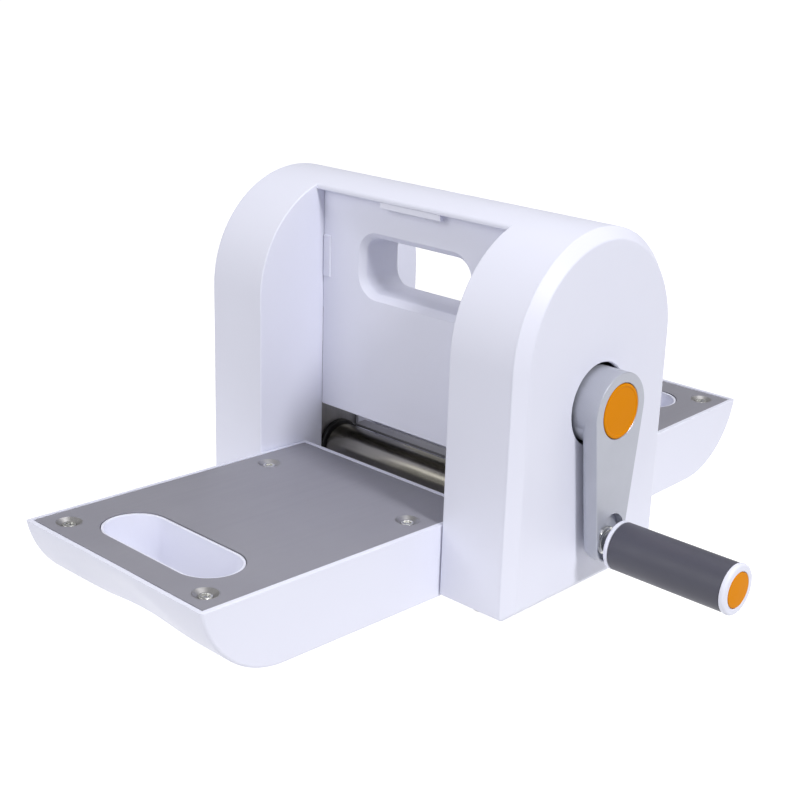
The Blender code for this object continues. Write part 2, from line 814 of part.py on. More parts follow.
def build_spindle(body):
    """The pin that the grip turns on, with a collar against the arm and a nut at its end."""
    start, end = SPINDLE_X
    collar, ring = SPOT_FACE_X + GAP, GRIP_RING[0] - GAP
    profile = (
        (0.0, end),
        (SPINDLE_RADIUS, end),
        (SPINDLE_RADIUS, ring),
        (COLLAR_RADIUS, ring),
        (COLLAR_RADIUS, collar),
        (SPINDLE_RADIUS, collar),
        (SPINDLE_RADIUS, start),
        (0.0, start),
    )
    spindle = turned("grip_spindle", profile, (0.0, GRIP_Z), ALONG_X, "steel")
    bore = SPINDLE_RADIUS + GAP
    outer, low, high = GRIP_NUT
    nut = prism(
        "grip_nut",
        [circle((0.0, GRIP_Z), outer, 6), circle((0.0, GRIP_Z), bore)],
        low,
        high,
        ALONG_X,
        "steel",
    )
    attach(body, spindle, nut)


def build_grip(body):
    """The turning grip: inner ring, sleeve, end cap and the round badge in it."""
    centre = (0.0, GRIP_Z)
    bore = SPINDLE_RADIUS + 2 * GAP
    start, end, radius = GRIP_RING
    ring = turned(
        "grip_inner_ring",
        ((radius, end), (radius, start + 0.0008), (radius - 0.0008, start), (bore, start), (bore, end)),
        centre,
        ALONG_X,
        "white_plastic",
        steps=FINE,
    )
    start, end, radius = GRIP_SLEEVE
    sleeve = turned(
        "grip_sleeve",
        (
            (radius, end),
            (radius, start),
            (bore, start),
            (bore, NUT_POCKET[1]),
            (NUT_POCKET[0], NUT_POCKET[1]),
            (NUT_POCKET[0], end),
        ),
        centre,
        ALONG_X,
        "grip_rubber",
        steps=FINE,
    )
    start, end, radius = GRIP_END_CAP
    cap = turned(
        "grip_end_cap",
        ((0.0, end), (radius - 0.0012, end), (radius, end - 0.0012), (radius, start), (0.0, start)),
        centre,
        ALONG_X,
        "white_plastic",
        steps=FINE,
    )
    low, high, radius = GRIP_BADGE
    seat = rod("badge_seat", radius + GAP, low - GAP, end + 0.003, centre, ALONG_X, sides=FINE)
    cut(cap, seat)
    badge = rod("grip_badge", radius, low, high, centre, ALONG_X, "orange_plastic", FINE)
    attach(body, ring, sleeve, cap, seat, badge)


def tray_outline(inset=0.0, top=TRAY_TOP):
    """The side of a platform in (-s, t): flat top, round hinge end, arc at the outer end."""
    radius = TRAY_END_RADIUS - inset
    centre = (-TRAY_END_CENTRE[0], TRAY_END_CENTRE[1])
    reach = math.degrees(math.asin((centre[1] - top) / radius))
    hinge = arc((0.0, 0.0), TRAY_INNER_RADIUS - inset, 0.0, -60.0, 8)
    bottom = TRAY_BOTTOM + inset
    foot = [(-0.004, bottom)]
    end = arc(centre, radius, 270.0, 180.0 + reach, 14)
    return [(TRAY_INNER_RADIUS - inset, top)] + hinge + foot + end


def slot_outline(half, radius):
    """A stadium across the platform, in (x, -s)."""
    right = arc((half - radius, -SLOT_CENTRE_S), radius, -90.0, 90.0, 8)
    left = arc((radius - half, -SLOT_CENTRE_S), radius, 90.0, 270.0, 8)
    return right + left


def build_tray(word, carrier, tray_body):
    """A platform: the white tub, the grey plate set in it, four screws and two hinge pins."""
    half = TRAY_HALF_X
    pieces = []

    def kept(piece):
        pieces.append(piece)
        return piece

    tub = kept(
        prism(word + "_tray_shell", [tray_outline()], -half, half, ALONG_X, "white_plastic")
    )
    hollow = kept(
        prism(
            word + "_tray_hollow",
            [tray_outline(TRAY_WALL, TRAY_TOP + 0.010)],
            -half + TRAY_WALL,
            half - TRAY_WALL,
            ALONG_X,
        )
    )
    plate_top = TRAY_TOP - 0.0002
    plate_low = plate_top - PLATE_THICKNESS
    deep, tall = TRAY_BOTTOM - 0.010, TRAY_TOP + 0.010
    slot_wall = kept(
        prism(
            word + "_slot_wall",
            [slot_outline(SLOT_HALF_X - GAP, SLOT_RADIUS - GAP)],
            TRAY_BOTTOM - 0.020,
            TRAY_TOP - 0.0004,
            ALONG_Z,
        )
    )
    inner_scallop = kept(scallop(word + "_inner", SCALLOP_DEPTH + TRAY_WALL))
    cut(hollow, slot_wall, inner_scallop)
    for number, (x, s) in enumerate(TRAY_SCREWS, 1):
        post = kept(
            rod(
                f"{word}_post_{number}",
                POST_RADIUS,
                deep,
                plate_low - GAP,
                (x, -s),
                ALONG_Z,
                sides=SMALL,
            )
        )
        cut(hollow, post)
    for side in (-1, 1):
        low, high = stretch(side, half - 0.009, half + 0.002)
        boss = kept(rod(f"{word}_pin_boss_{side}", 0.0085, low, high, (0.0, 0.0), ALONG_X))
        cut(hollow, boss)
    slot = kept(
        prism(
            word + "_slot",
            [slot_outline(SLOT_HALF_X - SLOT_WALL, SLOT_RADIUS - SLOT_WALL)],
            deep - 0.02,
            tall,
            ALONG_Z,
        )
    )
    cut(tub, hollow, slot)
    cut(tub, kept(scallop(word, SCALLOP_DEPTH)))
    for side in (-1, 1):
        low, high = stretch(side, half - 0.007, half + 0.004)
        bore = kept(
            rod(f"{word}_tray_bore_{side}", HINGE_PIN_RADIUS + GAP, low, high, (0.0, 0.0), ALONG_X)
        )
        cut(tub, bore)

    inner = TRAY_INNER_RADIUS - TRAY_WALL - GAP
    reach = tray_end_s(TRAY_WALL + GAP, plate_low)
    plate_half = half - TRAY_WALL - GAP
    plate = kept(
        prism(
            word + "_tray_plate",
            [
                [(-plate_half, -reach), (plate_half, -reach), (plate_half, inner), (-plate_half, inner)],
                slot_outline(SLOT_HALF_X, SLOT_RADIUS),
            ],
            plate_low,
            plate_top,
            ALONG_Z,
            "grey_plate",
        )
    )
    for number, (x, s) in enumerate(TRAY_SCREWS, 1):
        flare = (SINK_RADIUS - SINK_FLOOR_RADIUS) / SINK_DEPTH
        seat = kept(
            rod(
                f"{word}_screw_seat_{number}",
                SINK_FLOOR_RADIUS,
                plate_top - SINK_DEPTH,
                plate_top + GAP,
                (x, -s),
                ALONG_Z,
                end_radius=SINK_RADIUS + flare * GAP,
            )
        )
        bore = SCREW_SHANK_RADIUS + GAP
        way = kept(
            rod(f"{word}_screw_way_{number}", bore, deep, tall, (x, -s), ALONG_Z, sides=SMALL)
        )
        cut(plate, seat, way)
        tap = kept(
            rod(
                f"{word}_screw_tap_{number}",
                bore,
                SCREW_END - 0.0015,
                tall,
                (x, -s),
                ALONG_Z,
                sides=SMALL,
            )
        )
        cut(tub, tap)
        kept(tray_screw(f"{word}_tray_screw_{number}", plate_top, (x, -s)))

    for piece in pieces:
        piece.matrix_world = carrier.matrix_world @ piece.matrix_world
    attach(tray_body, *pieces)
    bpy.context.view_layer.update()


def tray_end_s(inset, height):
    """How far the outer wall's inner side lies from the hinge at a height."""
    radius = TRAY_END_RADIUS - inset
    return TRAY_END_CENTRE[0] + math.sqrt(radius**2 - (TRAY_END_CENTRE[1] - height) ** 2)


def tray_screw(name, plate_top, place):
    """A low socket-head screw with a round recess for the driver."""
    head_low = plate_top - SINK_DEPTH + GAP
    head_high = head_low + SCREW_HEAD_HEIGHT
    socket = head_high - SCREW_SOCKET_DEPTH
    radius, shank = SCREW_HEAD_RADIUS, SCREW_SHANK_RADIUS
    profile = (
        (0.0, socket),
        (SCREW_SOCKET_RADIUS, socket),
        (SCREW_SOCKET_RADIUS, head_high),
        (radius - 0.0004, head_high),
        (radius, head_high - 0.0004),
        (radius, head_low),
        (shank, head_low),
        (shank, SCREW_END),
        (0.0, SCREW_END),
    )
    return turned(name, profile, place, ALONG_Z, "steel", steps=SMALL)


def scallop(word, depth):
    """A shallow finger relief across the underside of a platform's outer end."""
    outward = Vector((-math.sin(SCALLOP_SLOPE), -math.cos(SCALLOP_SLOPE)))
    surface = Vector((-TRAY_END_CENTRE[0], TRAY_END_CENTRE[1])) + outward * TRAY_END_RADIUS
    axis = surface + outward * (SCALLOP_RADIUS - depth)
    mesh = bpy.data.meshes.new(word + "_scallop")
    shell = bmesh.new()
    bmesh.ops.create_cone(
        shell, cap_ends=True, segments=90, radius1=SCALLOP_RADIUS, radius2=SCALLOP_RADIUS, depth=0.12
    )
    bmesh.ops.rotate(
        shell, verts=shell.verts, matrix=Matrix.Rotation(SCALLOP_SLOPE - math.pi / 2, 3, "X")
    )
    bmesh.ops.translate(shell, verts=shell.verts, vec=(0.0, axis.x, axis.y))
    shell.to_mesh(mesh)
    shell.free()
    return add_object(word + "_scallop", mesh, None)


def build_hinge_pins(front, word):
    """Two headed pins, pushed from inside the towers into the platform's bosses."""
    for side, hand in ((-1, "left"), (1, "right")):
        head = TOWER_INNER_X + SHELL_WALL + GAP
        tip = TRAY_HALF_X - 0.0065
        pin = HINGE_PIN_RADIUS
        profile = [
            (0.0, head + 0.0024),
            (0.0065, head + 0.0024),
            (0.0065, head),
            (pin, head),
            (pin, tip + 0.0006),
            (pin - 0.0006, tip),
            (0.0, tip),
        ]
        if side < 0:
            profile = [(radius, -x) for radius, x in reversed(profile)]
        turned(
            f"{word}_{hand}_hinge_pin", profile, (front * HINGE_Y, HINGE_Z), ALONG_X, "steel"
        )


def build_all():
    for side, word in ((-1, "left"), (1, "right")):
        build_tower(side, word)
        build_side_frame(side, word)
    build_feet()
    build_base_pan()
    build_bed_plate()
    build_top_bar()
    build_gear_plate()
    build_tie_bars()

    build_roller("upper", UPPER_ROLLER_Z, axis_empty("upper_roller_axis", (0, 0, UPPER_ROLLER_Z)))
    build_roller("lower", LOWER_ROLLER_Z, axis_empty("lower_roller_axis", (0, 0, LOWER_ROLLER_Z)))
    crank = axis_empty("crank_axis", (0.0, 0.0, CRANK_Z))
    build_crank(crank)
    build_spindle(crank)
    build_grip(axis_empty("grip_axis", (0.0, 0.0, GRIP_Z), parent=crank))

    for front, word, turn in ((-1, "front", 0.0), (1, "rear", math.pi)):
        build_panel(front, word)
        latch_axis = axis_empty(word + "_latch_axis", (0.0, front * LATCH_Y[0], LATCH_Z[0]))
        build_latch(front, word, latch_axis)
        place = Vector((0.0, front * HINGE_Y, HINGE_Z))
        hinge = axis_empty(word + "_tray_axis", place, (-TRAY_TILT, 0.0, turn))
        build_tray(word, hinge, hinge)
        build_hinge_pins(front, word)


build_all()
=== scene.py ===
"""Looks of a hand-cranked die cutting machine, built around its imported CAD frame.

Metres, +Z up, in the frame of the CAD. +X runs along the rollers to the crank, -Y to the front
platform. Positions are read from the CAD nodes' boxes; each class holds the sizes of its own detail.
"""

import logging
import math
from collections.abc import Callable, Iterable, Mapping, Sequence
from dataclasses import dataclass
from enum import Enum
from typing import Any

import bmesh
import bpy
from mathutils import Matrix, Vector


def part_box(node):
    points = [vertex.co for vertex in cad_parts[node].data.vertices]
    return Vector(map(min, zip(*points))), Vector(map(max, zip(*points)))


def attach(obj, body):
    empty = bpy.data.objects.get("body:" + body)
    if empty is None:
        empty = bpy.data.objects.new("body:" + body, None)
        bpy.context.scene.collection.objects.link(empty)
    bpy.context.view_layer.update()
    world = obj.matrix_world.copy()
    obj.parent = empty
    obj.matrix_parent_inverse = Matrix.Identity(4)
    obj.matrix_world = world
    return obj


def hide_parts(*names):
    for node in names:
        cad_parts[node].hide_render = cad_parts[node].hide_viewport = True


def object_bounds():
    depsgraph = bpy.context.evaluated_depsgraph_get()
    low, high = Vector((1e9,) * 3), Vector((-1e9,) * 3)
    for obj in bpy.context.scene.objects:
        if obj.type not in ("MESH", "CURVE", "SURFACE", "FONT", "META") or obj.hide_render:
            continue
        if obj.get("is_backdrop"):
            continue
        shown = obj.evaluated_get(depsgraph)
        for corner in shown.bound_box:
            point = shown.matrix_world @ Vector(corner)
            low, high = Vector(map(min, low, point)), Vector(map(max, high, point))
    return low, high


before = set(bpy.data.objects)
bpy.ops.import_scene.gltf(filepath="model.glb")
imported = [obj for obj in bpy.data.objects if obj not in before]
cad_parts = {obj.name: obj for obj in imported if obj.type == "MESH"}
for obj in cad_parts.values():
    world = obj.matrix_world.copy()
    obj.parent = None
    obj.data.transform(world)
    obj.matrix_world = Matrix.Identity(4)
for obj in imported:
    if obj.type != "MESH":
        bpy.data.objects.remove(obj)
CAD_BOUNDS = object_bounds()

LOG = logging.getLogger("die_cutting_machine")
Point = tuple[float, float]
Colour = tuple[float, float, float]
Corner = tuple[float, float, float]
Piece = bpy.types.Object
HAIR = 0.0003
PIN_BORE = 0.0043
FINE_SIDES = 96
BEVEL_ANGLE = 35.0
SHARP_ANGLE = 32.0


# Shader graph

class Signal:
    """One output of a shader graph; arithmetic on it adds Math nodes."""

    def __init__(self, graph: "Graph", socket: bpy.types.NodeSocket) -> None:
        """Wraps an output socket of that graph, of one value, a colour or a vector."""
        self.graph = graph
        self.socket = socket

    def _math(self, operation: str, first: Any, second: Any) -> "Signal":
        """The value of a Math node with these two operands."""
        return self.graph.add("ShaderNodeMath", {"operation": operation}, {0: first, 1: second}, 0)

    def __add__(self, other: Any) -> "Signal":
        """This value plus another."""
        return self._math("ADD", self, other)

    def __mul__(self, other: Any) -> "Signal":
        """This value times another."""
        return self._math("MULTIPLY", self, other)


class Graph:
    """The node tree of one material or of the world."""

    def __init__(self, owner: Any) -> None:
        """Empties the node tree of a material or a world."""
        owner.use_nodes = True
        self.tree = owner.node_tree
        self.tree.nodes.clear()

    def make(self, kind: str, settings: Mapping[str, Any], inputs: Mapping[Any, Any]) -> bpy.types.Node:
        """Adds a node, sets it, then fills its sockets.

        Args:
            kind: The node's type name.
            settings: Its properties.
            inputs: Values or signals by socket name or number.

        Returns:
            The node.
        """
        node = self.tree.nodes.new(kind)
        for key, value in settings.items():
            setattr(node, key, value)
        for key, value in inputs.items():
            if isinstance(value, Signal):
                self.tree.links.new(value.socket, node.inputs[key])
            else:
                node.inputs[key].default_value = value
        return node

    def add(self, kind: str, settings: Mapping[str, Any], inputs: Mapping[Any, Any], output: Any) -> Signal:
        """Makes a node and hands on one of its outputs, by name or number."""
        return Signal(self, self.make(kind, settings, inputs).outputs[output])

    def place(self, stretch: Colour = (1.0, 1.0, 1.0)) -> Signal:
        """The point on the object, in metres, stretched along the axes."""
        point = self.add("ShaderNodeTexCoord", {}, {}, "Object")
        if stretch == (1.0, 1.0, 1.0):
            return point
        return self.add("ShaderNodeVectorMath", {"operation": "MULTIPLY"}, {0: point, 1: stretch}, 0)

    def noise(self, scale: float, detail: float = 2.0, stretch: Colour = (1.0, 1.0, 1.0)) -> Signal:
        """Noise about 0.5 over the object.

        Args:
            scale: Waves a metre.
            detail: Octaves on top of the first.
            stretch: Factors on the three axes; a small one draws the noise out along that axis.

        Returns:
            The noise value.
        """
        inputs = {"Vector": self.place(stretch), "Scale": scale, "Detail": detail}
        return self.add("ShaderNodeTexNoise", {"noise_dimensions": "3D"}, inputs, 0)

    def cells(self, scale: float) -> Signal:
        """Distance to the nearest of scattered grains, that many a metre."""
        return self.add("ShaderNodeTexVoronoi", {}, {"Vector": self.place(), "Scale": scale}, "Distance")

    def remap(self, value: Signal, source: Point, target: Point) -> Signal:
        """Carries a value's low and high end to new ones, clamped."""
        ends = {"Value": value, 1: source[0], 2: source[1], 3: target[0], 4: target[1]}
        return self.add("ShaderNodeMapRange", {"clamp": True}, ends, 0)

    def blend(self, factor: Signal, first: Colour, second: Colour) -> Signal:
        """A mix of two linear colours: the first at factor 0, the second at 1."""
        settings = {"data_type": "RGBA", "blend_type": "MIX"}
        return self.add("ShaderNodeMix", settings, {0: factor, 6: (*first, 1.0), 7: (*second, 1.0)}, 2)

    def bump(self, height: Signal, strength: float, distance: float, under: Signal | None = None) -> Signal:
        """A normal that follows a height.

        Args:
            height: The height, where 1 stands for the distance.
            strength: Share of the effect.
            distance: Metres between height 0 and 1.
            under: A normal that this one goes on top of.

        Returns:
            The normal.
        """
        inputs: dict[str, Any] = {"Height": height, "Strength": strength, "Distance": distance}
        if under is not None:
            inputs["Normal"] = under
        return self.add("ShaderNodeBump", {}, inputs, 0)

    def surface(self, inputs: Mapping[str, Any]) -> None:
        """Ends the graph in a Principled shader with these inputs."""
        shader = self.add("ShaderNodeBsdfPrincipled", {}, inputs, 0)
        self.make("ShaderNodeOutputMaterial", {}, {"Surface": shader})


# Finishes

class Lay(Enum):
    """Which way a metal's tool marks run, as a stretch of its noise."""

    TURNED_X = (1.0, 0.02, 0.02)
    GROUND_X = (0.02, 1.0, 1.0)
    ROLLED_Z = (1.0, 1.0, 0.03)
    CAST = (1.0, 1.0, 1.0)


@dataclass(frozen=True)
class Finish:
    """A colour range and a roughness range; each kind wires its own texture."""

    low: Colour
    high: Colour
    roughness: Point

    def material(self, name: str) -> bpy.types.Material:
        """Makes the finish as a material of that name."""
        made = bpy.data.materials.new(name)
        self.wire(Graph(made))
        return made

    def wire(self, graph: Graph) -> None:
        """Fills a material's empty graph."""
        raise NotImplementedError

    def colour(self, graph: Graph, value: Signal, margin: float) -> Signal:
        """Spreads a value about 0.5, give or take the margin, over the colour range."""
        spread = graph.remap(value, (0.5 - margin, 0.5 + margin), (0.0, 1.0))
        return graph.blend(spread, self.low, self.high)


@dataclass(frozen=True)
class Plastic(Finish):
    """Moulded plastic or rubber with a fine eroded grain and faint clouding."""

    grain_scale: float = 2600.0
    grain_depth: float = 0.00002
    wave_depth: float = 0.00003
    sheen: float = 0.0
    gloss: float = 0.5

    def wire(self, graph: Graph) -> None:
        """Wires the grain."""
        cloud = graph.noise(9.0, 3.0)
        grain = graph.noise(self.grain_scale, 2.0)
        speck = graph.cells(self.grain_scale * 0.55)
        waves = graph.bump(graph.noise(38.0, 1.0), 0.35, self.wave_depth)
        graph.surface(
            {
                "Base Color": self.colour(graph, cloud * 0.7 + grain * 0.3, 0.18),
                "Roughness": graph.remap(graph.noise(60.0, 3.0), (0.3, 0.7), self.roughness),
                "Specular IOR Level": self.gloss,
                "Sheen Weight": self.sheen,
                "Sheen Roughness": 0.5,
                "Normal": graph.bump(grain * 0.6 + speck * 0.4, 0.5, self.grain_depth, waves),
            }
        )


@dataclass(frozen=True)
class Sheet(Finish):
    """A painted or laminated plate: a tight even grain with faint rub marks from feeding."""

    def wire(self, graph: Graph) -> None:
        """Wires the grain."""
        grain = graph.noise(3200.0, 3.0)
        rubs = graph.noise(260.0, 3.0, (1.0, 0.035, 1.0))
        patches = graph.noise(14.0, 3.0)
        graph.surface(
            {
                "Base Color": self.colour(graph, grain * 0.35 + rubs * 0.3 + patches * 0.35, 0.14),
                "Roughness": graph.remap(rubs, (0.35, 0.7), self.roughness),
                "Normal": graph.bump(grain * 0.8 + rubs * 0.2, 0.45, 0.00003),
            }
        )


@dataclass(frozen=True)
class Metal(Finish):
    """Bare or painted metal with tool marks that run one way."""

    lay: Lay
    mark_scale: float = 1400.0
    mark_depth: float = 0.000006
    metallic: float = 1.0

    def wire(self, graph: Graph) -> None:
        """Wires the grain."""
        marks = graph.noise(self.mark_scale, 3.0, self.lay.value)
        stain = graph.noise(45.0, 4.0)
        graph.surface(
            {
                "Base Color": self.colour(graph, marks * 0.55 + stain * 0.45, 0.16),
                "Metallic": self.metallic,
                "Roughness": graph.remap(marks * 0.4 + stain * 0.6, (0.35, 0.65), self.roughness),
                "Normal": graph.bump(marks, 0.6, self.mark_depth),
            }
        )


class Slot(Enum):
    """The record's material slots."""

    WHITE = "white_plastic"
    PLATE = "grey_plate"
    FRAME = "frame_steel"
    GEAR = "gear_steel"
    ROLLER = "roller_steel"
    BRIGHT = "bright_steel"
    BLACK = "black_plastic"
    SILVER = "silver_paint"
    GRIP = "grip_rubber"
    ORANGE = "orange_plastic"
    FOOT = "foot_rubber"


FINISHES: dict[Slot, Finish] = {
    Slot.WHITE: Plastic((0.755, 0.765, 0.885), (0.775, 0.785, 0.905), (0.40, 0.50), gloss=0.35),
    Slot.PLATE: Sheet((0.235, 0.232, 0.275), (0.275, 0.272, 0.315), (0.42, 0.56)),
    Slot.FRAME: Metal((0.36, 0.355, 0.36), (0.50, 0.49, 0.50), (0.34, 0.50), Lay.ROLLED_Z),
    Slot.GEAR: Metal((0.30, 0.295, 0.29), (0.46, 0.45, 0.44), (0.30, 0.45), Lay.TURNED_X),
    Slot.ROLLER: Metal(
        (0.24, 0.228, 0.198), (0.31, 0.295, 0.260), (0.20, 0.27), Lay.GROUND_X, 700.0, 0.000002
    ),
    Slot.BRIGHT: Metal((0.60, 0.60, 0.585), (0.76, 0.76, 0.745), (0.16, 0.28), Lay.CAST),
    Slot.BLACK: Plastic((0.012, 0.012, 0.014), (0.022, 0.022, 0.025), (0.40, 0.52)),
    Slot.SILVER: Metal(
        (0.42, 0.435, 0.50), (0.49, 0.505, 0.575), (0.36, 0.46), Lay.CAST, 3200.0, 0.00001, 0.35
    ),
    Slot.GRIP: Plastic(
        (0.054, 0.054, 0.078), (0.066, 0.066, 0.092), (0.42, 0.52), 3000.0, 0.00002, sheen=0.04, gloss=0.45
    ),
    Slot.ORANGE: Plastic((0.70, 0.238, 0.001), (0.76, 0.262, 0.002), (0.40, 0.50), gloss=0.04),
    Slot.FOOT: Plastic((0.028, 0.028, 0.030), (0.045, 0.045, 0.048), (0.70, 0.85)),
}


class Paints:
    """Makes each finish once and hands it out."""

    made: dict[Slot, bpy.types.Material] = {}

    @classmethod
    def get(cls, slot: Slot) -> bpy.types.Material:
        """The material of a slot."""
        if slot not in cls.made:
            cls.made[slot] = FINISHES[slot].material(slot.value)
        return cls.made[slot]


# Meshes

class Axis(Enum):
    """Which way a profile is drawn out; the outline lies across it."""

    X = "x"
    Y = "y"
    Z = "z"

    def place(self, first: float, second: float, depth: float) -> Vector:
        """A point of an outline at a depth along this axis."""
        if self is Axis.X:
            return Vector((depth, first, second))
        if self is Axis.Y:
            return Vector((first, depth, second))
        return Vector((first, second, depth))


def arc(centre: Point, radius: float, start: float, end: float, steps: int) -> list[Point]:
    """steps + 1 points on an arc between two angles, in degrees from the first axis."""
    angles = [math.radians(start + (end - start) * step / steps) for step in range(steps + 1)]
    return [(centre[0] + radius * math.cos(a), centre[1] + radius * math.sin(a)) for a in angles]


def filleted(corners: Sequence[Corner], closed: bool, steps: int = 4) -> list[Point]:
    """Rounds the corners of a path.

    Args:
        corners: (first, second, radius) of each corner; a radius of 0 keeps it sharp.
        closed: True if the last corner joins the first.
        steps: Pieces of each rounding.

    Returns:
        The points of the rounded path.
    """
    points: list[Point] = []
    count = len(corners)
    for index, (first, second, radius) in enumerate(corners):
        corner = Vector((first, second))
        if radius == 0.0 or (not closed and index in (0, count - 1)):
            points.append((first, second))
            continue
        before = (Vector(corners[index - 1][:2]) - corner).normalized()
        after = (Vector(corners[(index + 1) % count][:2]) - corner).normalized()
        half = before.angle(after) / 2
        centre = corner + (before + after).normalized() * (radius / math.sin(half))
        entry = corner + before * (radius / math.tan(half)) - centre
        leave = corner + after * (radius / math.tan(half)) - centre
        for step in range(steps + 1):
            spoke = entry.lerp(leave, step / steps).normalized() * radius
            points.append((centre.x + spoke.x, centre.y + spoke.y))
    return points


def rounded_box(low: Point, high: Point, radius: float, steps: int = 8) -> list[Point]:
    """A rectangle with round corners, anticlockwise from its lower right."""
    corners = (
        ((high[0] - radius, low[1] + radius), -90.0),
        ((high[0] - radius, high[1] - radius), 0.0),
        ((low[0] + radius, high[1] - radius), 90.0),
        ((low[0] + radius, low[1] + radius), 180.0),
    )
    points: list[Point] = []
    for centre, start in corners:
        points += arc(centre, radius, start, start + 90.0, steps)
    return points


def middle(low: Vector, high: Vector) -> Point:
    """The point half-way between two corners of a box, in the outline's plane."""
    return ((low[0] + high[0]) / 2, (low[1] + high[1]) / 2)


def circle(centre: Point, radius: float, steps: int = 64) -> list[Point]:
    """A full circle of that many points."""
    return arc(centre, radius, 0.0, 360.0 * (steps - 1) / steps, steps - 1)


def quarter(depth: float, turn: float, radius: float, steps: int = 5) -> list[Point]:
    """(depth, inset) pairs that round an end face; turn is 1 if the solid lies beyond it, else -1."""
    angles = [math.pi / 2 * step / steps for step in range(steps + 1)]
    return [(depth + turn * radius * (1 - math.cos(a)), radius * (1 - math.sin(a))) for a in angles]


class Workshop:
    """Makes the closed meshes that the pieces are cut and joined from."""

    @staticmethod
    def lofted(name: str, rings: Sequence[Sequence[Vector]], ring_shut: bool = False) -> Piece:
        """Skins a row of rings that have the same number of points.

        Args:
            name: The object's name.
            rings: The rings in order.
            ring_shut: True if the last ring joins the first, as for a bored piece.

        Returns:
            The object.
        """
        shell = bmesh.new()
        rows = [[shell.verts.new(point) for point in ring] for ring in rings]
        pairs = list(zip(rows, rows[1:]))
        if ring_shut:
            pairs.append((rows[-1], rows[0]))
        for lower, upper in pairs:
            for index in range(len(lower)):
                after = (index + 1) % len(lower)
                shell.faces.new((lower[index], lower[after], upper[after], upper[index]))
        if not ring_shut:
            shell.faces.new(list(reversed(rows[0])))
            shell.faces.new(rows[-1])
        bmesh.ops.recalc_face_normals(shell, faces=shell.faces)
        mesh = bpy.data.meshes.new(name)
        shell.to_mesh(mesh)
        shell.free()
        made = bpy.data.objects.new(name, mesh)
        bpy.context.scene.collection.objects.link(made)
        return made

    @classmethod
    def swept(
        cls, name: str, outline: Callable[[float], list[Point]], profile: Iterable[Point], axis: Axis
    ) -> Piece:
        """Draws an outline out along an axis while it grows or shrinks.

        Args:
            name: The object's name.
            outline: Gives the outline for an inset.
            profile: (depth, inset) pairs along the axis.
            axis: The way it is drawn.

        Returns:
            The object.
        """
        rings = [[axis.place(a, b, depth) for a, b in outline(inset)] for depth, inset in profile]
        return cls.lofted(name, rings)

    @classmethod
    def turned(
        cls,
        name: str,
        profile: Sequence[Point],
        centre: Point,
        axis: Axis,
        bored: bool = False,
        sides: int = 64,
    ) -> Piece:
        """Turns a profile about an axis.

        Args:
            name: The object's name.
            profile: (radius, depth) points.
            centre: Where the axis passes through the outline's plane.
            axis: The axis.
            bored: True if the profile is a loop round a bore.
            sides: Flats of the round.

        Returns:
            The object.
        """
        rounds = [(circle(centre, radius, sides), depth) for radius, depth in profile]
        return cls.lofted(name, [[axis.place(a, b, depth) for a, b in ring] for ring, depth in rounds], bored)

    @classmethod
    def lathe(
        cls,
        name: str,
        corners: Sequence[Corner],
        centre: Point,
        axis: Axis,
        bored: bool = False,
        sides: int = 64,
        steps: int = 4,
    ) -> Piece:
        """Turns a profile after rounding its corners; takes what filleted and turned take."""
        return cls.turned(name, filleted(corners, bored, steps), centre, axis, bored, sides)

    @classmethod
    def drill(cls, radius: float, ends: Point, centre: Point, axis: Axis = Axis.X, sides: int = 64) -> Piece:
        """A plain cylinder between two depths, to cut or to join."""
        return cls.turned("drill", [(radius, depth) for depth in ends], centre, axis, sides=sides)

    @classmethod
    def block(cls, name: str, low: Sequence[float], high: Sequence[float], radius: float = 0.0) -> Piece:
        """A box between two corners, its edges rounded where a radius is given."""
        across = ((low[0], low[1]), (high[0], low[1]), (high[0], high[1]), (low[0], high[1]))
        made = cls.lofted(name, [[Vector((*place, z)) for place in across] for z in (low[2], high[2])])
        if radius > 0.0:
            step = made.modifiers.new("soften", "BEVEL")
            step.limit_method, step.angle_limit = "ANGLE", math.radians(BEVEL_ANGLE)
            step.width, step.segments = radius, 4
            cls.settle(made)
        return made

    @staticmethod
    def combine(target: Piece, operation: str, tools: Iterable[Piece]) -> None:
        """Cuts tools from a piece (DIFFERENCE) or joins them (UNION); the tools are used up."""
        used = list(tools)
        for tool in used:
            step = target.modifiers.new("combine", "BOOLEAN")
            step.operation = operation
            step.solver = "EXACT"
            step.object = tool
        Workshop.settle(target)
        for tool in used:
            bpy.data.objects.remove(tool, do_unlink=True)

    @staticmethod
    def settle(target: Piece) -> None:
        """Applies all of a piece's modifiers to its mesh."""
        bpy.context.view_layer.update()
        shown = target.evaluated_get(bpy.context.evaluated_depsgraph_get())
        mesh = bpy.data.meshes.new_from_object(shown)
        target.modifiers.clear()
        target.data = mesh


def dress(piece: Piece, body: str, slot: Slot, *nodes: str) -> Piece:
    """Gives a piece its finish and shading and fixes it to its body.

    Args:
        piece: The piece, in place at rest.
        body: The CAD body that it rides on.
        slot: Its finish.
        nodes: The CAD nodes that it stands for.

    Returns:
        The piece.
    """
    Workshop.settle(piece)
    mesh = piece.data
    mesh.name = piece.name
    mesh.materials.clear()
    mesh.materials.append(Paints.get(slot))
    mesh.shade_smooth()
    mesh.set_sharp_from_angle(angle=math.radians(SHARP_ANGLE))
    even = piece.modifiers.new("even_shading", "WEIGHTED_NORMAL")
    even.keep_sharp = True
    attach(piece, body)
    if nodes:
        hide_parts(*nodes)
    LOG.info("%s: %d faces on %s", piece.name, len(mesh.polygons), body)
    return piece


def ordered(first: float, second: float) -> tuple[float, float]:
    """Two numbers, lowest first."""
    return (first, second) if first < second else (second, first)


# Towers

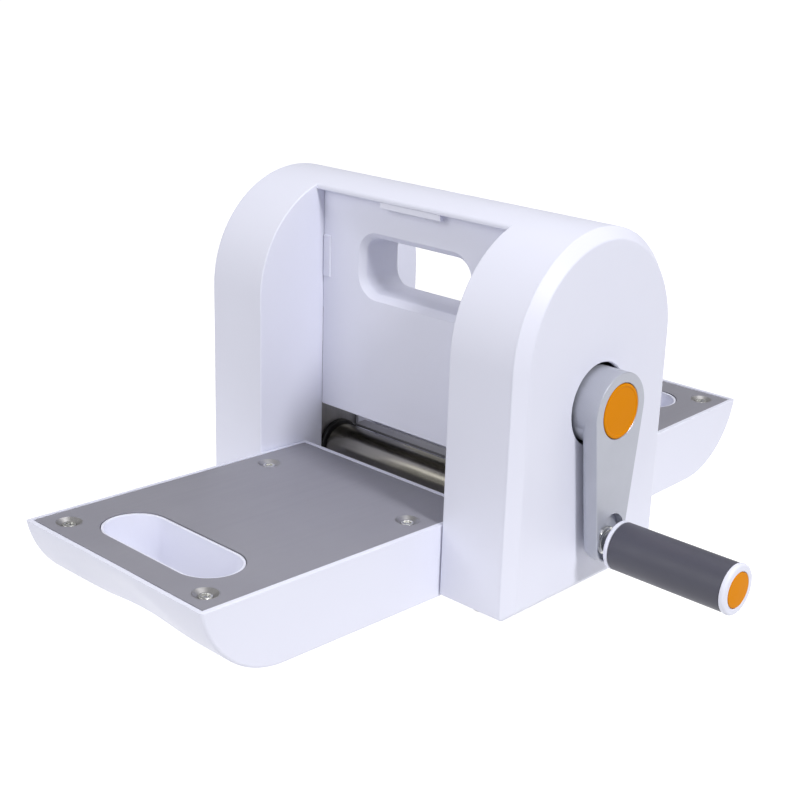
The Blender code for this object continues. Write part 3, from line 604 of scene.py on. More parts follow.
@dataclass
class Tower:
    """One D-shaped housing: a shell open outward, a chamfered cover and two feet."""

    word: str
    side: int
    corner: float = 0.0030
    inner_edge: float = 0.0009
    wall: float = 0.0025
    chamfer: float = 0.0068
    hub_hole: float = 0.0261
    seam_gap: float = 0.00006
    hub_z: float = 0.1226
    notch: Corner = (0.0184, 0.0083, 0.140)

    def __post_init__(self) -> None:
        """Reads the tower's own sizes from the CAD."""
        low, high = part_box(f"{self.word}_tower_shell")
        self.inner, self.seam = sorted((abs(low.x), abs(high.x)))
        low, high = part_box(f"{self.word}_tower_cover")
        self.outer = max(abs(low.x), abs(high.x))
        self.radius = high.y
        self.centre_z = high.z - self.radius

    def outline(self, inset: float) -> list[Point]:
        """The D in (y, z): upright sides, round lower corners and a half-round top."""
        radius = self.radius - inset
        corner = max(self.corner - inset, 0.0006)
        points = arc((corner - radius, inset + corner), corner, 180.0, 270.0, 5)
        points += arc((radius - corner, inset + corner), corner, 270.0, 360.0, 5)
        return points + arc((0.0, self.centre_z), radius, 0.0, 180.0, 96)

    def swept(self, name: str, profile: Iterable[Point]) -> Piece:
        """Draws the D out along x on this tower's side."""
        pairs = [(self.side * depth, inset) for depth, inset in profile]
        return Workshop.swept(f"{self.word}_{name}", self.outline, pairs, Axis.X)

    def build_shell(self) -> Piece:
        """The housing with its throat notch and the bores of the hinge pins."""
        profile = quarter(self.inner, 1.0, self.inner_edge) + [(self.seam, 0.0)]
        shell = self.swept("tower_body", profile)
        cavity = self.swept("cavity", [(self.inner + self.wall, self.wall), (self.seam + 0.005, self.wall)])
        half_y, low_z, high_z = self.notch
        through = 0.002
        ends = (self.inner - through, self.inner + self.wall + through)
        near, far = ordered(*(self.side * end for end in ends))
        notch = Workshop.block("notch", (near, -half_y, low_z), (far, half_y, high_z))
        tools = [cavity, notch]
        for front in ("front", "rear"):
            low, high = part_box(f"{front}_{self.word}_hinge_pin")
            centre = middle(low.yz, high.yz)
            tools.append(Workshop.drill(PIN_BORE, (near, far), centre, sides=24))
        Workshop.combine(shell, "DIFFERENCE", tools)
        return dress(shell, "frame", Slot.WHITE, f"{self.word}_tower_shell")

    def build_cover(self) -> Piece:
        """The outer cover with its broad chamfer; the right one has the hub's hole."""
        start = self.seam + self.seam_gap
        corners = (
            (start, 0.0, 0.0),
            (self.outer - self.chamfer, 0.0, 0.0012),
            (self.outer, self.chamfer, 0.0022),
            (self.outer, self.chamfer + 0.004, 0.0),
        )
        cover = self.swept("tower_face", filleted(corners, False, 5))
        recess = self.swept("recess", [(self.seam - 0.006, 0.006), (self.outer - 0.0028, 0.006)])
        tools = [recess]
        if self.side > 0:
            radius, face = self.hub_hole, self.outer
            profile = [(radius, self.seam - 0.01), (radius, face - 0.0006), (radius + 0.0008, face + 0.0002)]
            profile.append((radius + 0.0008, face + 0.004))
            tools.append(Workshop.turned("hub_hole", profile, (0.0, self.hub_z), Axis.X, sides=FINE_SIDES))
        Workshop.combine(cover, "DIFFERENCE", tools)
        return dress(cover, "frame", Slot.WHITE, f"{self.word}_tower_cover")

    def build_feet(self) -> None:
        """Two rubber feet with a rounded rim and a dimple for the screw."""
        for front in ("front", "rear"):
            node = f"{front}_{self.word}_foot"
            low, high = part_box(node)
            centre = middle(low.xy, high.xy)
            radius = (high.x - low.x) / 2
            corners = (
                (0.003, 0.004, 0.0),
                (0.003, -HAIR, 0.0),
                (radius, -HAIR, 0.0004),
                (radius - 0.0006, low.z, 0.0010),
                (0.0035, low.z, 0.0005),
                (0.0030, low.z + 0.0012, 0.0),
            )
            foot = Workshop.lathe(f"{node}_pad", corners, centre, Axis.Z, sides=48)
            dress(foot, "frame", Slot.FOOT, node)

    def build(self) -> None:
        """Builds the whole tower."""
        self.build_shell()
        self.build_cover()
        self.build_feet()


# Centre wall and top bar

@dataclass
class CentreWall:
    """Half of the wall between the towers: face, carrying hole, side stops and snap latch."""

    word: str
    front: int
    skin: float = 0.0025
    hole_low: Point = (-0.0455, 0.1585)
    hole_high: Point = (0.0455, 0.1955)
    hole_corner: float = 0.012
    lip: tuple[Point, ...] = (
        (-0.004, 0.0042),
        (0.0, 0.0042),
        (0.0034, 0.0007),
        (0.0042, 0.0002),
        (0.0055, 0.0),
    )
    stop_rise: float = 0.0029
    stop_relief: float = 0.0009
    stop_x: Point = (0.0763, 0.0832)
    stop_z: Point = (0.162, 0.191)
    opening_z: float = 0.140
    latch_half: float = 0.010
    tab_low: float = 0.2184
    tab_depth: float = 0.004
    tongue_y: Point = (0.0128, 0.0215)
    tongue_z: Point = (0.2172, 0.2187)
    catch_half: float = 0.014
    catch_y: Point = (0.0128, 0.0156)
    split: float = 0.00003
    side_room: float = 0.00005

    def __post_init__(self) -> None:
        """Reads the wall's own sizes from the CAD."""
        low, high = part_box(f"{self.word}_centre_panel")
        inner = abs(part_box("left_tower_shell")[1].x)
        self.half_x, self.low_z = inner - self.side_room, low.z
        self.high_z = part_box("top_bar")[0].z - self.side_room
        self.face = max(abs(low.y), abs(high.y)) - self.stop_rise

    def span(self, near: float, far: float) -> tuple[float, float]:
        """Two y limits on this wall's side, lowest first."""
        return ordered(self.front * near, self.front * far)

    def rectangle(self, inset: float) -> list[Point]:
        """The wall's outline in (x, z)."""
        low = (-self.half_x + inset, self.low_z + inset)
        return rounded_box(low, (self.half_x - inset, self.high_z - inset), 0.0004, 2)

    def hole(self, grow: float) -> list[Point]:
        """The carrying hole's outline in (x, z)."""
        low = (self.hole_low[0] - grow, self.hole_low[1] - grow)
        high = (self.hole_high[0] + grow, self.hole_high[1] + grow)
        return rounded_box(low, high, self.hole_corner + grow, 14)

    def build_panel(self) -> Piece:
        """The wall with the rolled lip of the hole and the two side stops."""
        rounding = [(self.front * depth, inset) for depth, inset in quarter(self.face, -1.0, 0.0007, 4)]
        profile = rounding + [(self.front * self.split, 0.0)]
        panel = Workshop.swept(f"{self.word}_wall", self.rectangle, profile, Axis.Y)
        inside = self.span(-0.002, self.face - self.skin)
        pocket = Workshop.block(
            "pocket",
            (-self.half_x + self.skin, inside[0], self.low_z - 0.01),
            (self.half_x - self.skin, inside[1], self.high_z - self.skin),
        )
        lining_y = [(self.front * -0.004, 0.0), (self.front * (self.face + 0.004), 0.0)]
        lining = Workshop.swept("lining", lambda inset: self.hole(self.skin), lining_y, Axis.Y)
        Workshop.combine(pocket, "DIFFERENCE", [lining])
        room = Workshop.block(
            "room",
            (-self.half_x - 0.004, inside[0], self.low_z - 0.01),
            (self.half_x + 0.004, inside[1], self.opening_z),
        )
        flare = [(self.front * (self.face - depth), grow) for depth, grow in self.lip]
        flare.append((self.front * -0.006, 0.0))
        hole = Workshop.swept("hole", self.hole, flare, Axis.Y)
        window_y = self.span(self.face - self.skin - 0.002, self.face + 0.002)
        window = Workshop.block(
            "window",
            (-self.latch_half - HAIR, window_y[0], self.tongue_z[0] - HAIR),
            (self.latch_half + HAIR, window_y[1], self.tongue_z[1] + HAIR),
        )
        Workshop.combine(panel, "DIFFERENCE", [pocket, room, hole, window])
        stops = [self.side_stop(side) for side in (-1, 1)]
        Workshop.combine(panel, "UNION", stops)
        return dress(panel, "frame", Slot.WHITE, f"{self.word}_centre_panel")

    def side_stop(self, side: int) -> Piece:
        """One round-topped rib at the wall's edge."""
        low_x, high_x = ordered(side * self.stop_x[0], side * (self.stop_x[1] - 0.0001))
        low_y, high_y = self.span(self.face - 0.001, self.face + self.stop_relief)
        low, high = (low_x, low_y, self.stop_z[0]), (high_x, high_y, self.stop_z[1])
        return Workshop.block("stop", low, high, 0.0008)

    def build_latch(self) -> Piece:
        """The snap tab under the bar, with its tongue through the wall."""
        low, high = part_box(f"{self.word}_latch")
        tip = max(abs(low.y), abs(high.y))
        near, far = self.span(tip - self.tab_depth, tip)
        below, above = (low.x, near, self.tab_low), (high.x, far, self.high_z + 0.002)
        tab = Workshop.block(f"{self.word}_snap_tab", below, above, 0.0006)
        trim = Workshop.block("trim", (-0.05, -0.05, self.high_z), (0.05, 0.05, self.high_z + 0.01))
        Workshop.combine(tab, "DIFFERENCE", [trim])
        near, far = self.span(*self.tongue_y)
        tongue_low, tongue_high = self.tongue_z
        half = self.latch_half
        tongue = Workshop.block("tongue", (-half, near, tongue_low), (half, far, tongue_high))
        near, far = self.span(*self.catch_y)
        half = self.catch_half
        stop = Workshop.block("catch", (-half, near, low.z), (half, far, tongue_low + 0.0008))
        Workshop.combine(tab, "UNION", [tongue, stop])
        return dress(tab, f"{self.word}_latch", Slot.WHITE, f"{self.word}_latch")

    def build(self) -> None:
        """Builds this half of the wall."""
        self.build_panel()
        self.build_latch()


@dataclass
class TopBar:
    """The grip over the carrying hole, flush with the towers' round tops."""

    edge: float = 0.0005
    shoulder: float = 0.0026
    tuck: float = 0.0022

    def build(self) -> Piece:
        """Draws the bar's section out between the towers."""
        low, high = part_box("top_bar")
        tower_low, tower_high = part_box("left_tower_cover")
        radius, half = tower_high.y, high.y
        centre_z = tower_high.z - radius
        reach = math.degrees(math.asin((half - self.shoulder) / radius))
        crown = arc((0.0, centre_z), radius, 90.0 - reach, 90.0 + reach, 30)
        edge_z = centre_z + math.sqrt(radius**2 - half**2)
        corners = (
            (*crown[-1], 0.0),
            (-half, edge_z, self.shoulder - 0.0003),
            (-half, low.z, self.edge),
            (half, low.z, self.edge),
            (half, edge_z, self.shoulder - 0.0003),
            (*crown[0], 0.0),
        )
        section = filleted(corners, False, 6) + crown[1:-1]
        ends = [(low.x - self.tuck, 0.0), (high.x + self.tuck, 0.0)]
        bar = Workshop.swept("carrying_bar", lambda inset: section, ends, Axis.X)
        return dress(bar, "frame", Slot.WHITE, "top_bar")


# Rollers

@dataclass
class Roller:
    """A ground steel roller with its journals, and the flanged bush at each end."""

    word: str
    journal: float = 0.008
    half_length: float = 0.0823
    bush_inset: float = 0.0008
    flange_end: float = 0.086
    barrel: float = 0.012
    edge: float = 0.0008

    def build_roller(self) -> Piece:
        """The roller, turned in one piece with its journals."""
        low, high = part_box(f"{self.word}_roller")
        radius = (high.y - low.y) / 2
        centre = middle(low.yz, high.yz)
        corners = (
            (0.0005, high.x, 0.0),
            (self.journal, high.x, 0.0006),
            (self.journal, self.half_length, 0.0),
            (radius, self.half_length, self.edge),
            (radius, -self.half_length, self.edge),
            (self.journal, -self.half_length, 0.0),
            (self.journal, low.x, 0.0006),
            (0.0005, low.x, 0.0),
        )
        roller = Workshop.lathe(f"{self.word}_steel_roller", corners, centre, Axis.X, sides=FINE_SIDES)
        return dress(roller, f"{self.word}_roller", Slot.ROLLER, f"{self.word}_roller")

    def build_bush(self, hand: str, side: int) -> Piece:
        """One flanged bush; side is -1 on the left and 1 on the right."""
        node = f"{hand}_{self.word}_bush"
        low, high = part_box(node)
        start, end = sorted((abs(low.x), abs(high.x)))
        start += self.bush_inset
        flange, barrel, bore = (high.y - low.y) / 2, self.barrel, self.journal + HAIR
        centre = middle(low.yz, high.yz)
        corners = (
            (bore, side * start, 0.0004),
            (flange, side * start, 0.0008),
            (flange, side * self.flange_end, 0.0),
            (barrel, side * self.flange_end, 0.0),
            (barrel, side * end, 0.0004),
            (bore, side * end, 0.0),
        )
        bush = Workshop.lathe(f"{node}_sleeve", corners, centre, Axis.X, True)
        return dress(bush, "frame", Slot.BLACK, node)

    def build(self) -> None:
        """Builds the roller and its bushes."""
        self.build_roller()
        self.build_bush("left", -1)
        self.build_bush("right", 1)


# Crank and grip

@dataclass
class Crank:
    """The silver arm with its hub, the round cap over the hub screw and the grip's spindle."""

    head_radius: float = 0.0238
    end_radius: float = 0.0135
    back_x: float = 0.142
    back_edge: float = 0.0055
    front_edge: float = 0.0006
    shaft_bore: float = 0.0083
    shaft_bore_x: Point = (0.120, 0.1403)
    pin_bore_x: Point = (0.1449, 0.17)
    spot_radius: float = 0.0124
    spot_rise: float = 0.0060
    spot_x: float = 0.150
    collar: float = 0.007
    flange: float = 0.009
    spindle: float = 0.005

    def __post_init__(self) -> None:
        """Reads the crank's axes and ends from the CAD."""
        low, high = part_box("crank_arm")
        self.hub_x, self.front_x = low.x, high.x
        cap_low, cap_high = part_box("crank_cap")
        self.cap_start, self.cap_end = cap_low.x, cap_high.x
        self.cap_radius = cap_high.y
        self.axis_z = (cap_low.z + cap_high.z) / 2
        pin_low, pin_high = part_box("grip_spindle")
        self.pin_start, self.pin_end = pin_low.x, pin_high.x
        self.grip_z = (pin_low.z + pin_high.z) / 2

    def outline(self, inset: float) -> list[Point]:
        """The arm in (y, z): two circles and their outer tangents."""
        lean = math.degrees(math.asin((self.head_radius - self.end_radius) / (self.axis_z - self.grip_z)))
        head = arc((0.0, self.axis_z), self.head_radius - inset, -lean, 180.0 + lean, 60)
        return head + arc((0.0, self.grip_z), self.end_radius - inset, 180.0 + lean, 360.0 - lean, 36)

    def build_arm(self) -> Piece:
        """The arm, rounded at the back, with the cap's seat and the spindle's spot face."""
        back = list(quarter(self.back_x, 1.0, self.back_edge, 8))
        front = list(reversed(quarter(self.front_x, -1.0, self.front_edge, 4)))
        arm = Workshop.swept("crank_lever", self.outline, back + front, Axis.X)
        axis = (0.0, self.axis_z)
        hub_radius, hub_end = self.head_radius - 0.00003, self.back_x + self.back_edge - 0.0001
        hub_corners = (
            (0.001, self.hub_x, 0.0),
            (hub_radius, self.hub_x, 0.0010),
            (hub_radius, hub_end, 0.0),
            (0.001, hub_end, 0.0),
        )
        hub = Workshop.lathe("hub", hub_corners, axis, Axis.X, sides=FINE_SIDES)
        Workshop.combine(arm, "UNION", [hub])
        seat = self.cap_radius + HAIR
        seat_profile = [(seat, self.cap_start - HAIR), (seat, self.front_x - 0.0003)]
        seat_profile += [(seat + 0.0004, self.front_x + 0.0001), (seat + 0.0004, self.front_x + 0.01)]
        low_axis, spot_x = (0.0, self.grip_z), (self.spot_x, self.front_x + 0.01)
        tools = [
            Workshop.turned("cap_seat", seat_profile, axis, Axis.X, sides=FINE_SIDES),
            Workshop.drill(self.shaft_bore, self.shaft_bore_x, axis),
            Workshop.drill(self.spot_radius, spot_x, low_axis, sides=FINE_SIDES),
            Workshop.drill(self.spot_radius, spot_x, (0.0, self.grip_z + self.spot_rise), sides=FINE_SIDES),
            Workshop.drill(self.spindle + HAIR, self.pin_bore_x, low_axis),
        ]
        Workshop.combine(arm, "DIFFERENCE", tools)
        return dress(arm, "crank", Slot.SILVER, "crank_arm", "crank_screw")

    def build_cap(self) -> Piece:
        """The round cap, slightly crowned, with a dished ring inside its rim."""
        radius, top = self.cap_radius - 0.0002, self.cap_end
        corners = (
            (radius, self.cap_start, 0.0),
            (radius, top - 0.0004, 0.0005),
            (radius - 0.0016, top - 0.0002, 0.0004),
            (radius - 0.0022, top - 0.0006, 0.0004),
            (0.0006, top - 0.0004, 0.0),
        )
        cap = Workshop.lathe("hub_cap", corners, (0.0, self.axis_z), Axis.X, sides=FINE_SIDES)
        return dress(cap, "crank", Slot.ORANGE, "crank_cap")

    def build_spindle(self) -> Piece:
        """The grip's pin with its turned collar against the arm."""
        ring_low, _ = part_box("grip_inner_ring")
        collar_start, collar_end = self.spot_x + HAIR, ring_low.x - HAIR
        corners = (
            (0.0005, self.pin_start, 0.0),
            (self.spindle, self.pin_start, 0.0),
            (self.spindle, collar_start, 0.0),
            (self.flange, collar_start, 0.0005),
            (self.flange, collar_start + 0.0022, 0.0005),
            (self.collar, collar_start + 0.0026, 0.0003),
            (self.collar, collar_end, 0.0005),
            (self.spindle, collar_end, 0.0),
            (self.spindle, self.pin_end, 0.0005),
            (0.0005, self.pin_end, 0.0),
        )
        pin = Workshop.lathe("grip_pin", corners, (0.0, self.grip_z), Axis.X, steps=3)
        return dress(pin, "crank", Slot.BRIGHT, "grip_spindle")

    def build(self) -> None:
        """Builds the crank."""
        self.build_arm()
        self.build_cap()
        self.build_spindle()


@dataclass
class Grip:
    """The turning grip: white ring, rubber sleeve, white end cap and its round badge."""

    bore: float = 0.0056
    recess: float = 0.0105
    recess_x: float = 0.2320

    def __post_init__(self) -> None:
        """Reads the grip's axis from the CAD."""
        low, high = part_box("grip_sleeve")
        self.centre = (0.0, (low.z + high.z) / 2)

    def ring(self, node: str, name: str, slot: Slot, corners: Sequence[Corner]) -> None:
        """Turns one bored piece of the grip and dresses it."""
        piece = Workshop.lathe(name, corners, self.centre, Axis.X, True, FINE_SIDES, steps=5)
        dress(piece, "grip", slot, node)

    def build(self) -> None:
        """Builds the four pieces of the grip."""
        low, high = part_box("grip_inner_ring")
        radius = high.y
        corners = (
            (self.bore, low.x, 0.0),
            (radius, low.x, 0.0013),
            (radius, high.x, 0.0003),
            (self.bore, high.x, 0.0),
        )
        self.ring("grip_inner_ring", "grip_collar", Slot.WHITE, corners)
        low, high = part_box("grip_sleeve")
        radius = high.y
        corners = (
            (self.bore, low.x, 0.0),
            (radius, low.x, 0.0005),
            (radius, high.x, 0.0005),
            (self.recess, high.x, 0.0),
            (self.recess, self.recess_x, 0.0),
            (self.bore, self.recess_x, 0.0),
        )
        self.ring("grip_sleeve", "grip_tube", Slot.GRIP, corners)
        self.build_end()

    def build_end(self) -> None:
        """The end cap, dished for the badge that sits a little proud of its floor."""
        low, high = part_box("grip_end_cap")
        badge_low, badge_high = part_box("grip_badge")
        radius, badge = high.y, badge_high.y
        corners = (
            (0.0005, low.x, 0.0),
            (radius - 0.0003, low.x, 0.0003),
            (radius, low.x + 0.0008, 0.0004),
            (radius, high.x, 0.0017),
            (badge + HAIR, high.x, 0.0003),
            (badge + HAIR, badge_low.x - HAIR, 0.0),
            (0.0005, badge_low.x - HAIR, 0.0),
        )
        cap = Workshop.lathe("grip_end", corners, self.centre, Axis.X, sides=FINE_SIDES, steps=5)
        dress(cap, "grip", Slot.WHITE, "grip_end_cap")
        corners = (
            (0.0005, badge_low.x, 0.0),
            (badge, badge_low.x, 0.0),
            (badge, badge_high.x - 0.0003, 0.0006),
            (0.0005, badge_high.x, 0.0),
        )
        disc = Workshop.lathe("grip_disc", corners, self.centre, Axis.X, sides=FINE_SIDES, steps=5)
        dress(disc, "grip", Slot.ORANGE, "grip_badge")


# Folding platforms

@dataclass
class Tray:
    """A folding platform: white tub, grey plate set in it and four countersunk screws.

    Its own directions are x, s outward from the hinge and t upward across the tilt; meshes are
    made in (x, -s, t) and turned into place.
    """

    word: str
    front: int
    tilt: float = math.radians(1.48)
    half_x: float = 0.0825
    top: float = 0.0283
    bottom: float = -0.0208
    hinge_radius: float = 0.0183
    end_centre: Point = (-0.1463, 0.0404)
    end_radius: float = 0.0612
    wall: float = 0.003
    side_edge: float = 0.0020
    plate_top: float = 0.0281
    plate_thickness: float = 0.003
    slot_s: float = -0.1616
    slot_half: float = 0.0550
    slot_radius: float = 0.0214
    post: float = 0.0048
    boss: float = 0.0085
    collar_wall: float = 0.0022
    collar_gap: float = 0.0006
    collar_drop: float = 0.0007
    scallop_radius: float = 0.283
    scallop_depth: float = 0.0045
    scallop_slope: float = math.radians(52.0)
    scallop_soft: float = 0.0011
    scallop_fade: Point = (0.012, 0.010)
    screws: tuple[Point, ...] = (
        (-0.0637, 0.0311),
        (0.0637, 0.0311),
        (-0.0637, 0.1882),
        (0.0637, 0.1882),
    )
    sink_radius: float = 0.0080
    sink_floor: float = 0.0047
    sink_depth: float = 0.0023
    cup_wall: float = 0.00012
    shank: float = 0.0018
    screw_end: float = 0.0115
    head_radius: float = 0.0042
    head_height: float = 0.0010
    socket_radius: float = 0.0028
    socket_step: float = 0.0014

    def __post_init__(self) -> None:
        """Finds the hinge from the CAD's hinge pins."""
        low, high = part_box(f"{self.word}_left_hinge_pin")
        hinge = Vector((0.0, *middle(low.yz, high.yz)))
        turn = 0.0 if self.front < 0 else math.pi
        self.matrix = (
            Matrix.Translation(hinge) @ Matrix.Rotation(turn, 4, "Z") @ Matrix.Rotation(-self.tilt, 4, "X")
        )
        self.body = f"{self.word}_tray"

    def outline(self, inset: float, top: float) -> list[Point]:
        """The side of the tub in (-s, t): flat top, round hinge end, arc at the outer end."""
        radius = self.end_radius - inset
        reach = math.degrees(math.asin((self.end_centre[1] - top) / radius))
        inner = self.hinge_radius - inset
        points = [(inner, top), (inner, top * 0.5)] + arc((0.0, 0.0), inner, 0.0, -60.0, 14)
        bottom = self.bottom + inset
        floor = [(-0.004 + (self.end_centre[0] + 0.004) * step / 8, bottom) for step in range(8)]
        return points + floor + arc(self.end_centre, radius, 270.0, 180.0 + reach, 40)

    def scooped(self, x: float, point: Point, lift: float) -> Point:
        """Moves a point of the outer end inward where the finger scallop is.

        Args:
            x: Where the ring lies across the platform.
            point: A point of the outline.
            lift: How far inside the outer skin this surface lies; not used.

        Returns:
            The moved point.
        """
        spoke = Vector(point) - Vector(self.end_centre)
        if spoke.length < 1e-6 or spoke.x > 0.0:
            return point
        slope = math.atan2(-spoke.x, -spoke.y)
        fall = self.end_radius * (1 - math.cos(slope - self.scallop_slope))
        depth = self.scallop_depth - x * x / (2 * self.scallop_radius) - fall
        soft, (reach, run) = self.scallop_soft, self.scallop_fade
        cut = 0.5 * (depth + math.sqrt(depth * depth + soft * soft)) if depth > -reach else 0.0
        fade = min(1.0, max(0.0, (depth + reach) / run))
        moved = Vector(point) - spoke.normalized() * cut * fade
        return (moved.x, moved.y)

    def tub_rings(self, inset: float, top: float, ends: Sequence[Point]) -> list[list[Vector]]:
        """Rings of the tub's skin or of its hollow, from left to right.

        Args:
            inset: How far inside the outer skin the surface lies.
            top: Its upper edge.
            ends: (x, further inset) pairs of the left end, outermost first.

        Returns:
            The rings.
        """
        left = [(-x, extra) for x, extra in ends]
        last = ends[-1][0]
        middle = [(-last + 2 * last * step / 64, 0.0) for step in range(1, 64)]
        places = left + middle + [(x, extra) for x, extra in reversed(ends)]
        rings = []
        for x, extra in places:
            crown = min(top, top - extra * 0.25)
            points = [self.scooped(x, point, inset) for point in self.outline(inset + extra, crown)]
            rings.append([Vector((x, a, b)) for a, b in points])
        return rings

    def stadium(self, half: float, radius: float) -> list[Point]:
        """The hand slot in (x, -s)."""
        points = arc((half - radius, self.slot_s), radius, -90.0, 90.0, 24)
        return points + arc((radius - half, self.slot_s), radius, 90.0, 270.0, 24)

    def column(self, name: str, outline: list[Point], low: float, high: float) -> Piece:
        """Draws an outline up through the platform."""
        return Workshop.swept(name, lambda inset: outline, [(low, 0.0), (high, 0.0)], Axis.Z)

    def build_tub(self) -> Piece:
        """The white tub with the slot's collar, posts and bosses inside."""
        edge = [(self.half_x - depth, inset) for depth, inset in quarter(0.0, 1.0, self.side_edge, 5)]
        tub = Workshop.lofted(f"{self.word}_tub", self.tub_rings(0.0, self.top, edge))
        inner_x = self.half_x - self.wall
        hollow = Workshop.lofted("hollow", self.tub_rings(self.wall, self.top + 0.010, [(inner_x, 0.0)]))
        gap = self.collar_gap
        collar = self.stadium(self.slot_half - gap, self.slot_radius - gap)
        collar_top = self.plate_top - self.collar_drop
        kept = [self.column("collar", collar, self.bottom - 0.02, collar_top)]
        plate_low = self.plate_top - self.plate_thickness
        for x, s in self.screws:
            post = circle((x, -s), self.post, 24)
            kept.append(self.column("post", post, self.bottom - 0.01, plate_low - HAIR))
        for side in (-1, 1):
            low, high = ordered(side * (self.half_x - 0.009), side * (self.half_x + 0.002))
            kept.append(Workshop.drill(self.boss, (low, high), (0.0, 0.0), sides=32))
        Workshop.combine(hollow, "DIFFERENCE", kept)
        thick = self.collar_wall
        slot = Workshop.swept(
            "slot",
            lambda inset: self.stadium(self.slot_half - thick - inset, self.slot_radius - thick - inset),
            [
                (self.bottom - 0.03, -0.0008),
                (self.bottom - 0.0001, -0.0008),
                (self.bottom + 0.0009, 0.0),
                (collar_top - 0.0003, 0.0),
                (collar_top, -0.0003),
                (self.top + 0.010, -0.0003),
            ],
            Axis.Z,
        )
        tools = [hollow, slot]
        for side in (-1, 1):
            low, high = ordered(side * (self.half_x - 0.007), side * (self.half_x + 0.004))
            tools.append(Workshop.drill(PIN_BORE, (low, high), (0.0, 0.0), sides=24))
        Workshop.combine(tub, "DIFFERENCE", tools)
        tub.data.transform(self.matrix)
        return dress(tub, self.body, Slot.WHITE, f"{self.word}_tray_shell")

    def build_plate(self) -> Piece:
        """The grey plate with its slot and four conical countersinks."""
        low_t = self.plate_top - self.plate_thickness
        inner = self.hinge_radius - self.wall - HAIR
        radius = self.end_radius - self.wall - HAIR
        reach = self.end_centre[0] - math.sqrt(radius**2 - (self.end_centre[1] - low_t) ** 2)
        half = self.half_x - self.wall - HAIR

        def rectangle(inset: float) -> list[Point]:
            """The plate's edge in (x, -s)."""
            return rounded_box((-half + inset, reach + inset), (half - inset, inner - inset), 0.0012, 4)

        top = self.plate_top
        profile = [(low_t, 0.0002), (low_t + 0.0002, 0.0), (top - 0.0003, 0.0), (top, 0.0003)]
        plate = Workshop.swept(f"{self.word}_grey_plate", rectangle, profile, Axis.Z)
        slot = Workshop.swept(
            "slot",
            lambda inset: self.stadium(self.slot_half - inset, self.slot_radius - inset),
            [(low_t - 0.002, 0.0), (top - 0.0001, 0.0), (top + 0.0001, -0.0002), (top + 0.01, -0.0002)],
            Axis.Z,
        )
        tools = [slot]
        floor = top - self.sink_depth
        corners = (
            (0.0021, low_t - 0.002, 0.0),
            (0.0021, floor, 0.0),
            (self.sink_floor, floor, 0.0004),
            (self.sink_radius, top, 0.0006),
            (self.sink_radius + 0.0012, top + 0.0001, 0.0),
            (self.sink_radius + 0.0012, top + 0.01, 0.0),
        )
        for x, s in self.screws:
            tools.append(Workshop.lathe("sink", corners, (x, -s), Axis.Z, sides=48))
        Workshop.combine(plate, "DIFFERENCE", tools)
        plate.data.transform(self.matrix)
        return dress(plate, self.body, Slot.PLATE, f"{self.word}_tray_plate")

    def build_screw(self, number: int, place: Point) -> Piece:
        """One low-headed screw with a deep hexagon socket, its axis at (x, s)."""
        low = self.plate_top - self.sink_depth + 0.0001
        high = low + self.head_height
        centre = (place[0], -place[1])
        corners = (
            (self.shank, self.screw_end, 0.0),
            (self.shank, low, 0.0),
            (self.head_radius, low, 0.0001),
            (self.head_radius, high - 0.0002, 0.0003),
            (self.head_radius - 0.0006, high, 0.0002),
            (0.0006, high, 0.0),
        )
        name = f"{self.word}_socket_screw_{number}"
        screw = Workshop.lathe(name, corners, centre, Axis.Z, sides=48, steps=3)
        socket = Workshop.swept(
            "socket",
            lambda inset: circle(centre, self.socket_radius - inset, 6),
            [
                (high - 0.0045, self.socket_step),
                (high - 0.00091, self.socket_step),
                (high - 0.0009, 0.0),
                (high - 0.0002, 0.0),
                (high + 0.0001, -0.0003),
                (high + 0.001, -0.0003),
            ],
            Axis.Z,
        )
        Workshop.combine(screw, "DIFFERENCE", [socket])
        screw.data.transform(self.matrix)
        return dress(screw, self.body, Slot.BRIGHT, f"{self.word}_tray_screw_{number}")

    def build_cup(self, number: int, place: Point) -> Piece:
        """The pressed cup that lines one countersink, its axis at (x, s)."""
        floor, top = self.plate_top - self.sink_depth, self.plate_top
        thick, rim = self.cup_wall, self.sink_radius - 0.0002
        loop = (
            (0.0022, floor + 0.00003, 0.0),
            (self.sink_floor - 0.0002, floor + 0.00003, 0.0),
            (rim, top - 0.0001, 0.0),
            (rim - 0.0003, top, 0.0),
            (self.sink_floor - 0.0005, floor + thick, 0.0),
            (0.0022, floor + thick, 0.0),
        )
        name = f"{self.word}_screw_cup_{number}"
        cup = Workshop.lathe(name, loop, (place[0], -place[1]), Axis.Z, True, 48)
        cup.data.transform(self.matrix)
        return dress(cup, self.body, Slot.FRAME)

    def build(self) -> None:
        """Builds the platform."""
        self.build_tub()
        self.build_plate()
        for number, place in enumerate(self.screws, 1):
            self.build_screw(number, place)
            self.build_cup(number, place)


# Kept CAD nodes

@dataclass
class Works:
    """The CAD nodes whose own shape is shown: frames, gears, shaft, pins and pan."""

    slots: tuple[tuple[str, Slot], ...] = (
        ("side_frame", Slot.FRAME),
        ("gear_plate", Slot.FRAME),
        ("tie_bar", Slot.FRAME),
        ("roller_gear", Slot.GEAR),
        ("crank_pinion", Slot.GEAR),
        ("crank_shaft", Slot.GEAR),
        ("hinge_pin", Slot.BRIGHT),
        ("grip_nut", Slot.GEAR),
        ("inner_bush", Slot.BLACK),
        ("outer_bush", Slot.BLACK),
        ("base_pan", Slot.WHITE),
        # The bed plate is painted shade: a grey sheet set behind the lower roller to darken the throat, where
        # there is only shade.
        ("bed_plate", Slot.PLATE),
    )

    def build(self) -> None:
        """Gives every CAD node that still shows the finish of its kind."""
        for name, node in sorted(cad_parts.items()):
            if node.hide_render:
                continue
            slot = next(found for part, found in self.slots if part in name)
            node.data.materials.clear()
            node.data.materials.append(Paints.get(slot))
            LOG.info("%s keeps its CAD shape in %s", name, slot.value)


# Studio

